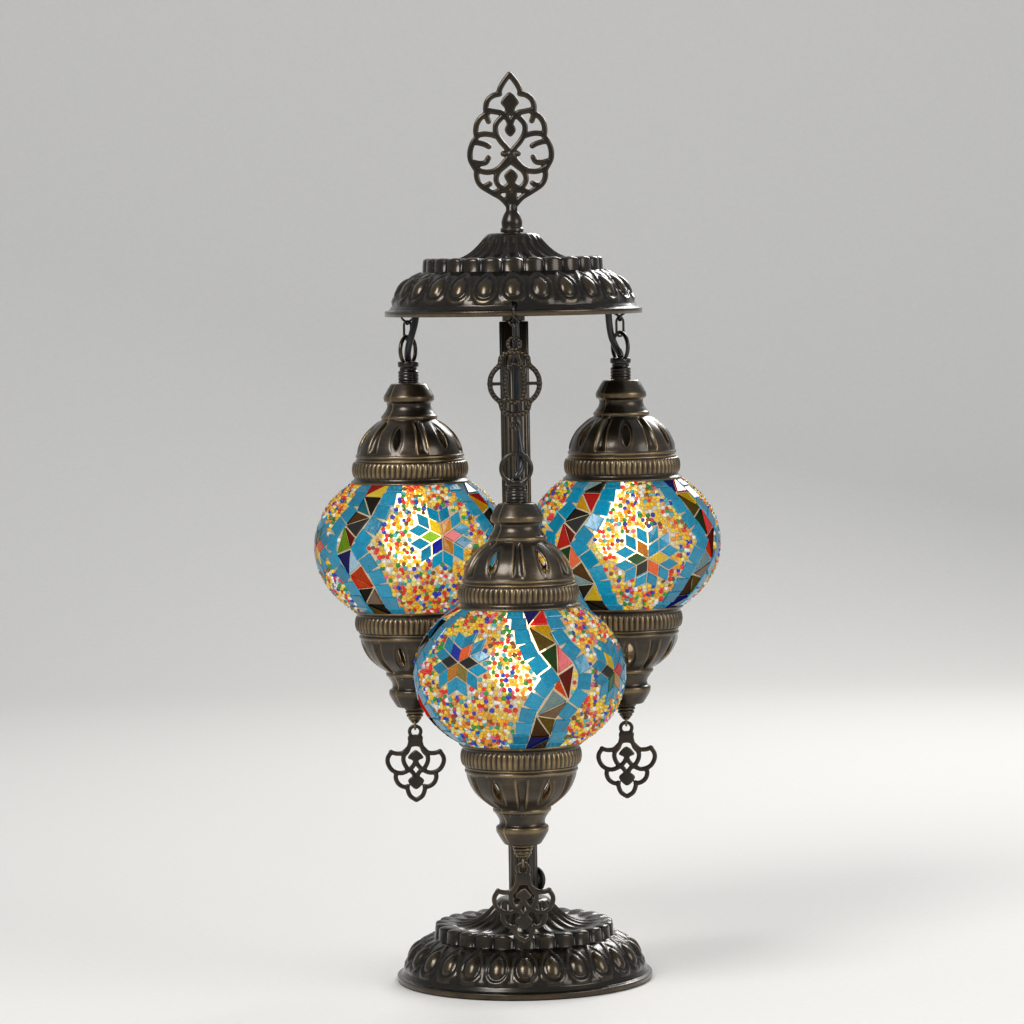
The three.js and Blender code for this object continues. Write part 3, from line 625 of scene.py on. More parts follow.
# ---- Leads and chains ----
LEAD_DIAMETER = 4.2
FEED_ROUTE = [
    [6.45, 0, 432], [12, 0, 431.6], [24, 0.2, 427.5], [38, 0.4, 421.5],
    [50, 0.6, 417.5], [60, 0.8, 415.4], [65, 0.9, 413.6], [66.9, 1, 411],
]
SIDE_DROP_ROUTE = [
    [67.2, 1, 409.4], [67.6, 1.4, 405], [68.6, 2.2, 397.5], [70, 3.2, 391.5], [71.4, 3.6, 387],
    [73.2, 2.7, 382.2], [74.7, 0.9, 378.6], [75, 0, 376.4],
]
FRONT_DROP_ROUTE = [
    [67.2, 1, 409.4], [67.3, 1.1, 403], [67.2, 1.2, 392], [66.9, 1.2, 378], [66.8, 1.1, 362],
    [67, 1, 346], [67.6, 1.4, 334], [69, 2.6, 325], [71.2, 3.4, 317.5], [73.4, 2.4, 312.6],
    [74.7, 0.8, 310.8], [75, 0, 308.8],
]


def radial(points, azimuth):
    """Points [outward, sideways, z] of a lamp's radial frame turned to the scene's frame."""
    return np.asarray(points, float) @ np.stack([*ways(azimuth), [0, 0, 1]])


class LAMP_OT_leads(bpy.types.Operator):
    """Lays each lamp's lead from the neck to its hanger, in one length"""

    bl_idname = "mosaic_lamp.leads"
    bl_label = "Lamp leads"

    def execute(self, context):
        for lamp in LAMPS:
            drop = FRONT_DROP_ROUTE if lamp.name == "front" else SIDE_DROP_ROUTE
            route = radial(FEED_ROUTE + drop, lamp.azimuth)
            path = smooth_line(route, 110)
            name = lamp.body("lead")
            lead = make(name, sweep(path, LEAD_DIAMETER, LEAD_DIAMETER, sides=16), material("cable"))
            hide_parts(lamp.body("lead_feed"), lamp.body("lead_drop"))
            swing = next(j for j in frame["joints"] if j["name"] == lamp.body("swing"))
            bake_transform(lead)
        return {"FINISHED"}


HANG_RADIUS = 75.0
HOLE_RISE = 6.4             # of a chain hole's middle over the canopy's rim
CHAIN_HOLE = 5.0            # diameter
WIRE = 1.5
LINK_HALF = 2.5


def oval_link(top, bottom):
    """Stations [x, 0, z] of an oval link between two heights of its wire's middle."""
    w = LINK_HALF
    bend = w * 0.8
    right = [[w * 0.8, top - bend * 0.5], [w, top - bend * 1.4], [w, top - bend * 2],
             [w, bottom + bend * 2], [w, bottom + bend * 1.4], [w * 0.8, bottom + bend * 0.5]]
    left = [[-x, z] for x, z in right[::-1]]
    return [[x, 0, z] for x, z in [[0, top], *right, [0, bottom], *left]]


def rim_link(pivot, rim, cross):
    """Stations of the link through the canopy's hole: radial above, twisted a quarter turn below."""
    out, w = 4.25, LINK_HALF
    return [
        [0, 0, pivot], [out * 0.85, 0, pivot - 0.9], [out, 0, pivot - 3.4], [out, 0.2, rim],
        [2.4, 1.7, rim - 2], [0.2, w, cross + 1.8], [0, 0, cross], [-0.2, -w, cross + 1.8],
        [-2.6, -1.7, rim - 2], [-4.8, -0.2, rim], [-4.6, 0, pivot - 3], [-3, 0, pivot - 0.3],
    ]


class LAMP_OT_chains(bpy.types.Operator):
    """Bends the wire links that hold each lamp"""

    bl_idname = "mosaic_lamp.chains"
    bl_label = "Chains"

    def execute(self, context):
        rim = low_high("canopy_dish")[0][2]
        for lamp in LAMPS:
            top, bottom = self.wire_ends(lamp, "rim_link")
            self.wire(lamp, "rim_link", "rim_wire", rim_link(top, rim, bottom), "upper_chain", 72)
            for link in ["chain_link"] + (["tail_link"] if lamp.name == "front" else []):
                stations = oval_link(*self.wire_ends(lamp, link))
                self.wire(lamp, link, link + "_wire", stations, "lower_chain", 64)
        return {"FINISHED"}

    def wire_ends(self, lamp, link):
        """Heights of the wire's middle at a link's top and bottom."""
        low, high = low_high(lamp.body(link))
        return high[2] - WIRE / 2, low[2] + WIRE / 2

    def wire(self, lamp, link, name, stations, body, steps):
        """Bends one link of wire through its stations."""
        path = radial(smooth_line(stations, steps, closed=True) + [HANG_RADIUS, 0, 0], lamp.azimuth)
        made = make(lamp.body(name), sweep(path, WIRE, WIRE, closed=True, sides=12), material("black"))
        dress(made, lamp.body(body), "blackened", lamp.body(link))


# ---- Stand ----
def wave(angle, count, phase=0.0):
    """Place within each of count equal sectors, from -1 to 1 and 0 in a sector's middle."""
    turns = (angle / TURN * count + phase) % 1.0
    return 2 * turns - 1


DISH_WALL = 1.2
POST_WALL = 1.2
REED_DEPTH = 0.8
NECK_BORE, NECK_RADIUS = 5.85, 6.85
PIPE_BORE, PIPE_RADIUS = 3.4, 5.0
PIPE_HOLE = 5.3             # in the weight and the dishes, radius
PAD_RADIUS = 72.0
WEIGHT_RADIUS = 58.0
BUSHING_TURN = math.radians(32)


def dish_profile(radius, height):
    """Outside of the stamping from the rim's foot to the crown, as [r, z]."""
    step = [[radius, 0], [radius, 0.065 * height], [0.966 * radius, 0.078 * height],
            [0.957 * radius, 0.1 * height], [0.944 * radius, 0.13 * height]]
    bell = smooth_line([[0.938, 0.18], [0.915, 0.245], [0.89, 0.3], [0.862, 0.365], [0.82, 0.43],
                        [0.78, 0.478], [0.735, 0.512]], 34)
    collar = eased([[0.735, 0.512], [0.705, 0.53], [0.7, 0.67], [0.693, 0.693], [0.665, 0.706],
                    [0.63, 0.703]], 0.012, 4)[1:]
    cone = smooth_line([[0.6, 0.697], [0.52, 0.69], [0.44, 0.7], [0.36, 0.75], [0.3, 0.82],
                        [0.25, 0.9], [0.21, 0.965]], 34)
    crown = [[0.19, 0.99], [0.165, 1.0], [PIPE_HOLE / radius, 1.0]]
    upper = np.vstack([bell, collar, cone, crown]) * [radius, height]
    return np.vstack([eased(np.vstack([step, upper[:1]]), 0.5, 4)[:-1], upper])


def dish_relief(profile, angle, radius, height):
    """How far the stamping stands out, and how bright it is rubbed.

    Each lobe is an egg boss inside a raised outline, wider below. The collar is scalloped by half
    rounds, and hollow flutes run down the cone.
    """
    r, z = profile[:, :1] / radius, profile[:, 1:] / height
    lobe = wave(angle, sizes().lobes, 0.5 - 0.25 * sizes().lobes)
    rise = (z - 0.345) / 0.18
    taper = 0.84 - 0.14 * rise - 0.14 * rise ** 2
    egg = np.sqrt((lobe / taper) ** 2 + rise ** 2)
    boss = np.clip(1 - (egg / 0.66) ** 2, 0, 1) ** 0.55
    outline = np.exp(-((egg - 0.98) / 0.13) ** 2)
    on_bell = (r > 0.715) & (z > 0.13)
    lobes = np.where(on_bell, 2.5 * boss + 0.95 * outline, 0)
    half_round = np.sqrt(np.clip(1 - (0.98 * lobe) ** 2, 0, 1))
    band = np.clip((z - 0.525) / 0.02, 0, 1) * np.clip((r - 0.6) / 0.06, 0, 1) * (r < 0.72)
    scallops = 3.2 * (half_round - 1) * band
    flute = wave(angle, sizes().flutes, 0.5 - 0.25 * sizes().flutes)
    fade = np.clip((0.62 - r) / 0.1, 0, 1) * np.clip((r - 0.205) / 0.05, 0, 1)
    flutes = -1.7 * (1 - flute ** 2) ** 0.8 * fade
    rubbed = np.where(on_bell, 0.85 * boss, 0) + 0.3 * band * half_round ** 4 + 0.5 * fade * flute ** 6
    return lobes + scallops + flutes, np.clip(rubbed, 0, 1)


def pressing(outside, inner, wall, relief, least):
    """A closed sheet: the outside moved along its own normal by the relief, the inside wall below it."""
    tangent = np.gradient(outside, axis=0)
    tangent /= np.linalg.norm(tangent, axis=1)[:, None]
    normal = np.stack([tangent[:, 1], -tangent[:, 0]], -1)
    shift = np.vstack([relief, np.minimum(relief[inner] * 0.9, least) - wall])
    way = np.vstack([normal, normal[inner]])
    base = np.vstack([outside, outside[inner]])
    r, z = base[:, :1] + shift * way[:, :1], base[:, 1:] + shift * way[:, 1:]
    r[0], z[0] = outside[0, 0], outside[0, 1]
    r[-1], z[-1] = outside[0, 0] - wall, outside[0, 1]
    return r, z


def worn_lathe(outside, inner, segments, surface, wall, least):
    """The lathed sheet and its wear: surface gives relief and rubbing over (rows, angles)."""
    relief, rubbed = surface(np.arange(segments) * TURN / segments)
    both = np.vstack([outside, outside[inner]])
    sheet = pressing(outside, inner, wall, relief, least)
    part = lathe(both, segments, lambda body, angle: sheet)
    wear = np.vstack([rubbed, 0 * rubbed[inner]])
    return part, wear.ravel()


def dish_part(radius, height, wall):
    """The stamping with an even wall, and its wear."""
    outside = dish_profile(radius, height)
    return worn_lathe(outside, slice(None, None, -2), 14 * sizes().lobes,
                      lambda angle: dish_relief(outside, angle, radius, height), wall, 0.5)


def point_attribute(piece, name, values):
    attribute = piece.data.attributes.new(name, "FLOAT", "POINT")
    attribute.data.foreach_set("value", np.asarray(values, np.float32))


class LAMP_OT_dishes(bpy.types.Operator):
    """Stamps the foot and the canopy, which are the same pressing"""

    bl_idname = "mosaic_lamp.dishes"
    bl_label = "Foot and canopy"

    def execute(self, context):
        for node in ("foot_dish", "canopy_dish"):
            low, high = low_high(node)
            radius = np.hypot(*node_points(node)[:, :2].T).max()
            part, wear = dish_part(radius, high[2] - low[2], DISH_WALL)
            dish = make(node + "_pressing", part, material("dish"), (0, 0, low[2]))
            point_attribute(dish, "wear", wear)
            if node == "canopy_dish":
                self.chain_holes(dish, low[2] + HOLE_RISE)
            dress(dish, "root", "bronze", node)
        return {"FINISHED"}

    def chain_holes(self, dish, height):
        """Cuts the three holes that the rim links pass through."""
        for lamp in LAMPS:
            path = radial([[HANG_RADIUS - 9, 0, height], [HANG_RADIUS + 7, 0, height]], lamp.azimuth)
            cut(dish, sweep(path, CHAIN_HOLE, CHAIN_HOLE, sides=28))


def reeded(radius, bottom, top, reeds, depth, wall):
    """A reeded tube: its outside swells and dips by depth, once for each reed."""
    rows = [[radius, bottom], [radius, bottom + 0.4], [radius, top - 0.4], [radius, top],
            [radius - depth - wall, top], [radius - depth - wall, bottom]]

    def ripple(body, angle):
        reed = wave(angle, reeds)
        swell = np.sqrt(np.clip(1 - reed ** 2, 0, 1)) - 1
        share = np.array([0.8, 1, 1, 0.8, 0, 0])[:, None]
        r = body[:, :1] + depth * swell * share - np.array([0.3, 0, 0, 0.3, 0, 0])[:, None]
        return r, np.broadcast_to(body[:, 1:], r.shape)

    return lathe(rows, reeds * 12, ripple)


def tube(node, bore, radius):
    """Profile of a plain tube, or of a disc where the bore is 0, as tall as a CAD node."""
    low, high = low_high(node)
    return [[bore, low[2]], [radius, low[2]], [radius, high[2]], [bore, high[2]]]


def turned_node(name, node, profile, finish, slot, body="root", centre=(0, 0), segments=64,
                radius=0.4):
    """A turned piece with eased corners that stands for a CAD node."""
    profile = np.asarray(profile, float)
    if profile[0, 0] > 0 and profile[-1, 0] > 0:
        middle = (profile[0] + profile[-1]) / 2
        profile = np.vstack([middle, profile, middle])
    part = lathe(eased(profile, radius), segments)
    made = make(name, part, material(finish), (*centre, 0))
    return dress(made, body, slot, node)


class LAMP_OT_stand(bpy.types.Operator):
    """Makes the post, neck, pipe, weight, felt and bushing"""

    bl_idname = "mosaic_lamp.stand"
    bl_label = "Post and foot parts"

    def execute(self, context):
        low, high = low_high("post_tube")
        part = reeded(high[0], low[2], high[2], sizes().reeds, REED_DEPTH, POST_WALL)
        post = make("reeded_post", part, material("black"), sharp=50)
        dress(post, "root", "blackened", "post_tube")
        turned_node("canopy_neck_tube", "canopy_neck", tube("canopy_neck", NECK_BORE, NECK_RADIUS),
                    "black", "blackened")
        turned_node("pipe", "threaded_pipe", tube("threaded_pipe", PIPE_BORE, PIPE_RADIUS),
                    "steel", "steel")
        turned_node("felt_disc", "felt_pad", tube("felt_pad", 0, PAD_RADIUS), "felt", "felt",
                    segments=128)
        turned_node("iron_weight", "foot_weight", tube("foot_weight", PIPE_HOLE, WEIGHT_RADIUS),
                    "iron", "iron", segments=96, radius=1.2)
        bevelled(frame["nodes"]["foot_nut"], "hex_nut", "foot_nut", "root", "steel", "steel", 0.4)
        self.bushing()
        return {"FINISHED"}

    def bushing(self):
        """The rubber bushing points out of the post, behind its right side."""
        low, high = low_high("cord_bushing")
        height = (low[2] + high[2]) / 2
        profile = [[2.6, 6.3], [5, 6.3], [5, 9.3], [7.6, 9.3], [7.6, 10.7], [5.6, 12.5], [4.4, 12.9],
                   [2.6, 12.3]]
        profile = np.vstack([profile, profile[:1]])
        points, groups = lathe(eased(profile, 0.5, 4), 48)
        out, side = ways(BUSHING_TURN)
        turned = points[:, 2:] * out + points[:, :1] * side + points[:, 1:2] * [0, 0, 1]
        made = make("rubber_bushing", (turned, groups), material("rubber"), (0, 0, height))
        dress(made, "root", "rubber", "cord_bushing")


def bevelled(node, name, cad, body, finish, slot, width):
    """A copy of a CAD node's faces, merged and bevelled at its corners."""
    mesh = node.data.copy()
    mesh.name = name
    work = bmesh.new()
    work.from_mesh(mesh)
    bmesh.ops.remove_doubles(work, verts=work.verts, dist=1e-6)
    bmesh.ops.dissolve_limit(work, angle_limit=math.radians(1), verts=work.verts, edges=work.edges)
    bmesh.ops.recalc_face_normals(work, faces=work.faces)
    work.to_mesh(mesh)
    work.free()
    mesh.materials.clear()
    mesh.materials.append(material(finish))
    piece = bpy.data.objects.new(name, mesh)
    bpy.context.scene.collection.objects.link(piece)
    applied(piece, "BEVEL", width=width * MM, segments=2, limit_method="ANGLE",
            angle_limit=math.radians(30))
    piece.data.shade_smooth()
    piece.data.set_sharp_from_angle(angle=math.radians(35))
    return dress(piece, body, slot, cad)


# ---- Castings: strands [x, z] on the right side, mirrored to the left ----
FINIAL_STRANDS = [
    [[0, 94.6], [3.2, 90.5], [5.6, 86.5], [6.6, 83.2]],
    [[6, 83], [10, 82], [13.2, 79.3], [14.4, 75.5], [14.3, 71]],
    [[13.5, 71.5], [17.5, 69], [20, 65.2], [20.7, 61], [20.2, 57.5]],
    [[19.8, 58], [22.6, 54], [24.3, 49], [24, 43.5], [20.8, 37.6]],
    [[20.5, 38.5], [20.6, 33.5], [18.4, 28.6], [12, 24.3], [6.5, 21], [2.2, 16.5]],
    [[14.4, 73.4], [9, 72.4], [4.6, 71.4], [1.8, 68.4], [0.2, 65]],
    [[0, 74], [2.4, 71], [5.6, 68.4], [8.6, 64.6], [8.6, 59.8], [6.2, 55], [2.6, 50.8], [0, 47.6]],
    [[20.4, 58.4], [16, 59.2], [12, 58.8], [8, 57.6]],
    [[0, 46.6], [3.2, 43], [6.8, 39], [11.5, 36.6], [16.5, 36.6], [21, 38.6]],
    [[21.6, 54.4], [18.4, 53.8], [15.4, 52.9], [13, 51.6]],
    [[22, 42.4], [18.6, 41.6], [15, 42.2], [13.4, 45]],
    [[0, 42.6], [3.4, 40], [7.4, 36.6], [9, 32.6], [8, 29], [5, 26.4], [0, 24.6]],
    [[0, 31], [1.8, 28.2], [4.4, 26.4]],
    [[10.6, 23.8], [7.4, 25], [4, 25.4]],
    [[14.4, 72], [13.8, 69], [13, 66.6]],
    [[17, 27.4], [14.6, 28.4], [12.8, 29.4]],
]
FINIAL_SOLIDS = [
    [[0, 82.4], [-4.2, 78], [-2.6, 75.2], [-1.4, 72], [1.4, 72], [2.6, 75.2], [4.2, 78]],
    [[0, 66], [-2.6, 61.6], [0, 58.4], [2.6, 61.6]],
    [[0, 37], [-3.2, 34], [-1.2, 30], [1.2, 30], [3.2, 34]],
    [[-2.2, 12], [2.2, 12], [2.2, 26], [-2.2, 26]],
]
PENDANT_STRANDS = [
    [[2.4, -3.6], [4.6, -11.4], [7.2, -14.8], [7.4, -18.6], [5.2, -22.8], [2, -25.2], [0, -29.4]],
    [[3.6, -9.2], [7.6, -12.9], [11.5, -13.5], [15.4, -12.4]],
    [[14.8, -12.2], [17.1, -16], [17, -19.8], [14.4, -23.8], [9.4, -25.6], [4.8, -24],
     [1.6, -21.2], [0, -18]],
    [[12, -25], [12.5, -28.6], [11, -32], [8, -34], [5, -34.2]],
    [[5.4, -33.6], [5.2, -36.4], [3.6, -40], [0, -42.4]],
]
PENDANT_SOLIDS = [
    [[-3.2, -3.2], [-3.6, -7], [-4.4, -9.4], [0, -8.6], [4.4, -9.4], [3.6, -7], [3.2, -3.2]],
    [[0, -12.4], [-3.9, -16], [-1.5, -17.6], [-1, -20], [1, -20], [1.5, -17.6], [3.9, -16]],
    [[0, -34.8], [-4, -30.8], [-1.2, -28], [1.2, -28], [4, -30.8]],
]
ORNAMENT_OUTER = [
    [0, 18], [4, 18], [7.6, 15.4], [8.6, 11], [12, 7.4], [14, 3.6], [14.4, 0], [14, -3.6],
    [12, -7.4], [8.6, -11], [7.2, -15.4], [4, -17.6], [0, -18],
]
ORNAMENT_REACH = 28.0       # from the ornament's middle to the top of its upper ring
ORNAMENT_INNER = [[0, 11.4], [3, 10], [5, 6], [5.6, 0], [5, -6], [3, -10], [0, -11.4]]
ORNAMENT_TIES = [[[4.4, 8.6], [7, 10], [9.4, 9.4]], [[4.4, -8.6], [7, -10], [9.4, -9.4]],
                 [[5.6, 0], [9, 0], [14, 0]], [[0, 17.4], [2.4, 15.2], [3.2, 12]]]
FLIP_X = np.array([-1, 1])


def upright(line):
    """An [x, z] line stood in the XZ plane."""
    line = np.asarray(line, float)
    return np.stack([line[:, 0], 0 * line[:, 0], line[:, 1]], -1)


def strands(lines, width, thickness):
    """Each line and its mirror image as a boxy strand, sampled about every half millimetre."""
    parts = []
    for line in lines:
        for way in ([1, 1], FLIP_X):
            points = np.asarray(line, float) * way
            length = np.linalg.norm(np.diff(points, axis=0), axis=1).sum()
            path = upright(smooth_line(points, max(8, int(length / 0.7))))
            parts.append(sweep(path, width, thickness, up=(0, 1, 0), square=0.72, sides=14))
    return parts


class LAMP_OT_finial(bpy.types.Operator):
    """Casts the pierced finial on its turned bulb"""

    bl_idname = "mosaic_lamp.finial"
    bl_label = "Finial"

    def execute(self, context):
        base = low_high("finial")[0][2]
        parts = strands(FINIAL_STRANDS, 3.5, 3.3)
        parts += [pillow(outline, 3.2, grow=1.3) for outline in FINIAL_SOLIDS]
        ball = ball_template(10, 20)
        for x, z, radius, deep in ((0, 46.8, 3.2, 2.1), (4.4, 47.2, 1.8, 1.6), (-4.4, 47.2, 1.8, 1.6),
                                   (0, 25, 2.8, 2.0)):
            parts.append((ball[0] * [radius, deep, radius] + [x, 0, z], ball[1]))
        bulb = [[5.3, 4], [5.3, 0], [7, 0], [7, 2.3], [6, 3]]
        swell = smooth_line([[6, 3.2], [6.35, 5], [6.2, 7.2], [5, 10.5], [3.5, 13.2], [2.9, 15.4]], 14)
        foot = np.vstack([[[0, 4]], eased(bulb, 0.3), swell, [[2.4, 17], [0, 17.4]]])
        parts.append(lathe(foot, 48))
        finial = make("pierced_finial", joined(parts), material("filigree"), (0, 0, base),
                      turn_out=False)
        fused(finial, 0.34, 2)
        dress(finial, "root", "blackened", "finial")
        return {"FINISHED"}


class LAMP_OT_pendants(bpy.types.Operator):
    """Casts the pierced pendant under each lamp"""

    bl_idname = "mosaic_lamp.pendants"
    bl_label = "Pendants"

    def execute(self, context):
        parts = strands(PENDANT_STRANDS, 2.9, 2.5)
        parts += [pillow(outline, 2.5, grow=1.25) for outline in PENDANT_SOLIDS]
        parts.append(flat_ring(0, 0, 4.6, 2.3, 2.4))
        for lamp in LAMPS:
            top = low_high(lamp.body("pendant"))[1][2]
            piece = make(lamp.body("pierced_pendant"), joined(parts), material("filigree"),
                         (lamp.x, lamp.y, top - 4.4), turn_out=False)
            fused(piece, 0.28, 2)
            dress(piece, lamp.body("charm"), "blackened", lamp.body("pendant"))
        return {"FINISHED"}


def pearls(line, spacing, radius, depth):
    """Half-round pearls on both faces, evenly spaced along an [x, z] line."""
    line = np.asarray(line, float)
    length = np.linalg.norm(np.diff(line, axis=0), axis=1).sum()
    places = upright(smooth_line(line, max(2, int(length / spacing) + 1)))
    centres = np.vstack([places + [0, depth, 0], places - [0, depth, 0]])
    turns = np.broadcast_to(np.eye(3) * radius, (len(centres), 3, 3))
    return copies(ball_template(6, 10), turns, centres)


class LAMP_OT_ornament(bpy.types.Operator):
    """Casts the pearled ornament in the front lamp's chain"""

    bl_idname = "mosaic_lamp.ornament"
    bl_label = "Chain ornament"

    def execute(self, context):
        front = LAMPS[0]
        middle = low_high("front_ornament")[1][2] - ORNAMENT_REACH
        parts = strands([ORNAMENT_OUTER, ORNAMENT_INNER], 3.1, 1.9)
        parts += strands(ORNAMENT_TIES, 2.0, 1.8)
        parts += [flat_ring(0, 23.4, 4.6, 2.4, 1.9), flat_ring(0, -24.3, 3.3, 1.9, 1.9),
                  pillow([[-1.1, -22], [1.1, -22], [1.1, -17], [-1.1, -17]], 1.9),
                  pillow([[14, -2.4], [16.2, 0], [14, 2.4]], 1.9),
                  pillow([[-14, -2.4], [-14, 2.4], [-16.2, 0]], 1.9)]
        beads = []
        for line in (ORNAMENT_OUTER, ORNAMENT_INNER):
            for way in ([1, 1], FLIP_X):
                beads.append(pearls(np.asarray(line) * way, 2.3, 1.05, 0.95))
        angle = np.linspace(0, TURN, 13)
        ring = np.stack([3.5 * np.cos(angle), 23.4 + 3.5 * np.sin(angle)], -1)
        beads.append(pearls(ring, 2.0, 0.85, 0.95))
        place = (front.x, front.y, middle)
        casting = make("pearled_ornament", joined(parts + beads), material("filigree"), place,
                       turn_out=False)
        fused(casting, 0.24, 1)
        dress(casting, front.body("lower_chain"), "bronze", "front_ornament")
        return {"FINISHED"}


# ---- Lamp metalwork ----
CAP_LIP = 36.5
CAP_WALL = 1.1
CROWN_BORE = 4.6
VENTS = 6
VENT_RISE = 27.5            # of a vent's middle over the lip
VENT_HALF = [2.5, 6.6]      # half of its width and of its height
RIB_RISE, RIB_HALF = 8.3, 4.7


def cap_profile(lip, height):
    """A cap's outside from lip to crown: flare, bead ring, mouldings, dome, waist and collar."""
    start = [[lip, 0.0], [lip, 0.9], [lip - 0.6, 1.5], [0.95 * lip, 2.4], [0.94 * lip, 3.2]]
    bend = np.linspace(-1.2, 1.2, 13)
    bead = np.stack([0.935 * lip + 1.3 * np.cos(bend) - 0.35,
                     RIB_RISE + RIB_HALF * np.sin(bend) / math.sin(1.2)], -1)
    moulding = [[0.905 * lip, 13.4], [0.915 * lip, 13.8], [0.915 * lip, 14.5], [0.895 * lip, 14.9],
                [0.895 * lip, 15.5], [0.912 * lip, 15.9], [0.912 * lip, 17.0], [0.895 * lip, 17.7]]
    dome = smooth_line([[0.89, 0.302], [0.875, 0.35], [0.83, 0.42], [0.765, 0.485], [0.68, 0.54],
                        [0.57, 0.594], [0.475, 0.632]], 22) * [lip, height]
    neck = [[0.462 * lip, 0.642 * height], [0.472 * lip, 0.65 * height], [0.472 * lip, 0.672 * height],
            [0.455 * lip, 0.682 * height], [0.44 * lip, 0.69 * height]]
    waist = smooth_line([[0.425, 0.704], [0.39, 0.735], [0.37, 0.765], [0.368, 0.79], [0.376, 0.808]],
                        14) * [lip, height]
    top = [[0.41 * lip, 0.818 * height], [0.425 * lip, 0.832 * height], [0.425 * lip, 0.868 * height],
           [0.413 * lip, 0.884 * height], [0.36 * lip, 0.94 * height], [0.305 * lip, 0.992 * height],
           [0.285 * lip, height], [CROWN_BORE, height]]
    flare = eased(np.vstack([start, bead[:1]]), 0.3, 3)[:-1]
    rings = eased(np.vstack([bead[-1:], moulding, dome[:1]]), 0.3, 3)[1:-1]
    upper = eased(np.vstack([dome[-1:], neck, waist[:1]]), 0.35, 3)[1:-1]
    last = eased(np.vstack([waist[-1:], top]), 0.4, 3)[1:]
    return np.vstack([flare, bead, rings, dome, upper, waist, last])


def cap_relief(outside, angle, vent_angle):
    """How far a cap stands out, and how bright it is rubbed.

    Ribs round the bead ring are half rounds. Six flutes run down the dome, wider below, with a
    raised edge; the vents between them have a sunk edge.
    """
    r, z = outside[:, :1], outside[:, 1:]
    rib = np.sqrt(np.clip(1 - (0.98 * wave(angle, sizes().ribs)) ** 2, 0, 1))
    along_rib = np.clip(1 - ((z - RIB_RISE) / (RIB_HALF + 0.1)) ** 2, 0, 1) ** 0.5
    ribs = 1.5 * (rib - 0.55) * along_rib
    along = np.clip((z - 18.6) / 2.4, 0, 1) ** 0.5 * np.clip((38.4 - z) / 1.6, 0, 1) ** 0.5
    across = np.abs(wave(angle - vent_angle, VENTS)) * math.pi / VENTS * r
    half = np.clip(1.9 + 1.4 * (36 - z) / 16, 1.7, 3.4)
    flute = -1.9 * np.clip(1 - (across / half) ** 2, 0, 1) ** 0.7 * along
    edge = 0.35 * np.exp(-((across - half - 0.5) / 0.5) ** 2) * along
    aside = np.abs(wave(angle - vent_angle, VENTS, 0.5)) * math.pi / VENTS * r
    almond = np.sqrt((aside / 3.3) ** 2 + ((z - VENT_RISE) / 7.6) ** 2)
    seat = -0.5 * np.exp(-((almond - 0.95) / 0.22) ** 2) * (z > 18) * (z < 38)
    rings = np.clip(np.exp(-((z - 14.2) / 0.6) ** 2) + np.exp(-((z - 16.5) / 0.7) ** 2)
                    + np.exp(-((z - 40) / 0.8) ** 2) + 0.8 * np.exp(-((z - 51.6) / 1.3) ** 2), 0, 1)
    rubbed = 0.95 * rib ** 5 * along_rib ** 0.6 + 0.75 * edge / 0.35 + 0.8 * rings
    return ribs + flute + edge + seat, np.clip(rubbed, 0, 1)


def cap_part(lip, height, vent_angle):
    """A pressed cap with an even wall, and its wear."""
    outside = cap_profile(lip, height)
    return worn_lathe(outside, slice(None, None, -4), 6 * sizes().ribs,
                      lambda angle: cap_relief(outside, angle, vent_angle), CAP_WALL, 0)


def vent_drill(vent_angle, height, number):
    """A pointed oval bar that cuts one vent: (w sin a^1.5, h cos a) along its outline."""
    angle = np.arange(32) * TURN / 32
    across = VENT_HALF[0] * np.sign(np.sin(angle)) * np.abs(np.sin(angle)) ** 1.5
    up = VENT_HALF[1] * np.cos(angle)
    out, side = ways(vent_angle + number * TURN / VENTS)
    flat = across[:, None] * side + (up + height)[:, None] * [0, 0, 1]
    grid = np.stack([flat + out * reach for reach in (19, 40)])
    return joined([grid_part(grid, around=True), fan_part(grid[0], grid[0].mean(0), True),
                   fan_part(grid[1], grid[1].mean(0))])


class LAMP_OT_caps(bpy.types.Operator):
    """Presses the top and bottom cap of each lamp"""

    bl_idname = "mosaic_lamp.caps"
    bl_label = "Caps"

    def execute(self, context):
        for lamp in LAMPS:
            for end, way in (("top", 1), ("bottom", -1)):
                height = lamp.cap_crown - lamp.cap_lip
                vents = lamp.vents * way
                part, wear = cap_part(CAP_LIP, height, vents)
                drills = joined([vent_drill(vents, VENT_RISE, i) for i in range(VENTS)])
                offset = np.array([0, 0, lamp.cap_lip])
                part, drills = moved(part, offset), moved(drills, offset)
                if way < 0:
                    part, drills = upended(part), upended(drills)
                name = lamp.body(end + "_cap_pressing")
                cap = make(name, part, material("bronze"), lamp.centre)
                point_attribute(cap, "wear", wear)
                cut(cap, drills, lamp.centre)
                dress(cap, lamp.body("lamp"), "bronze", lamp.body(end + "_cap"))
        return {"FINISHED"}


RING_RADIUS, RING_WIRE = 8.8, 2.5
EYE_RADIUS, EYE_WIRE = 2.9, 1.4
BULB_RADIUS, BULB_RISE = 18.0, 5.0
ROD_RADIUS, ROD_HEAD = 2.1, [4.2, 2.6]      # the head's radius and height
NIPPLE_BORE, NIPPLE_RADIUS = 3.0, 4.3


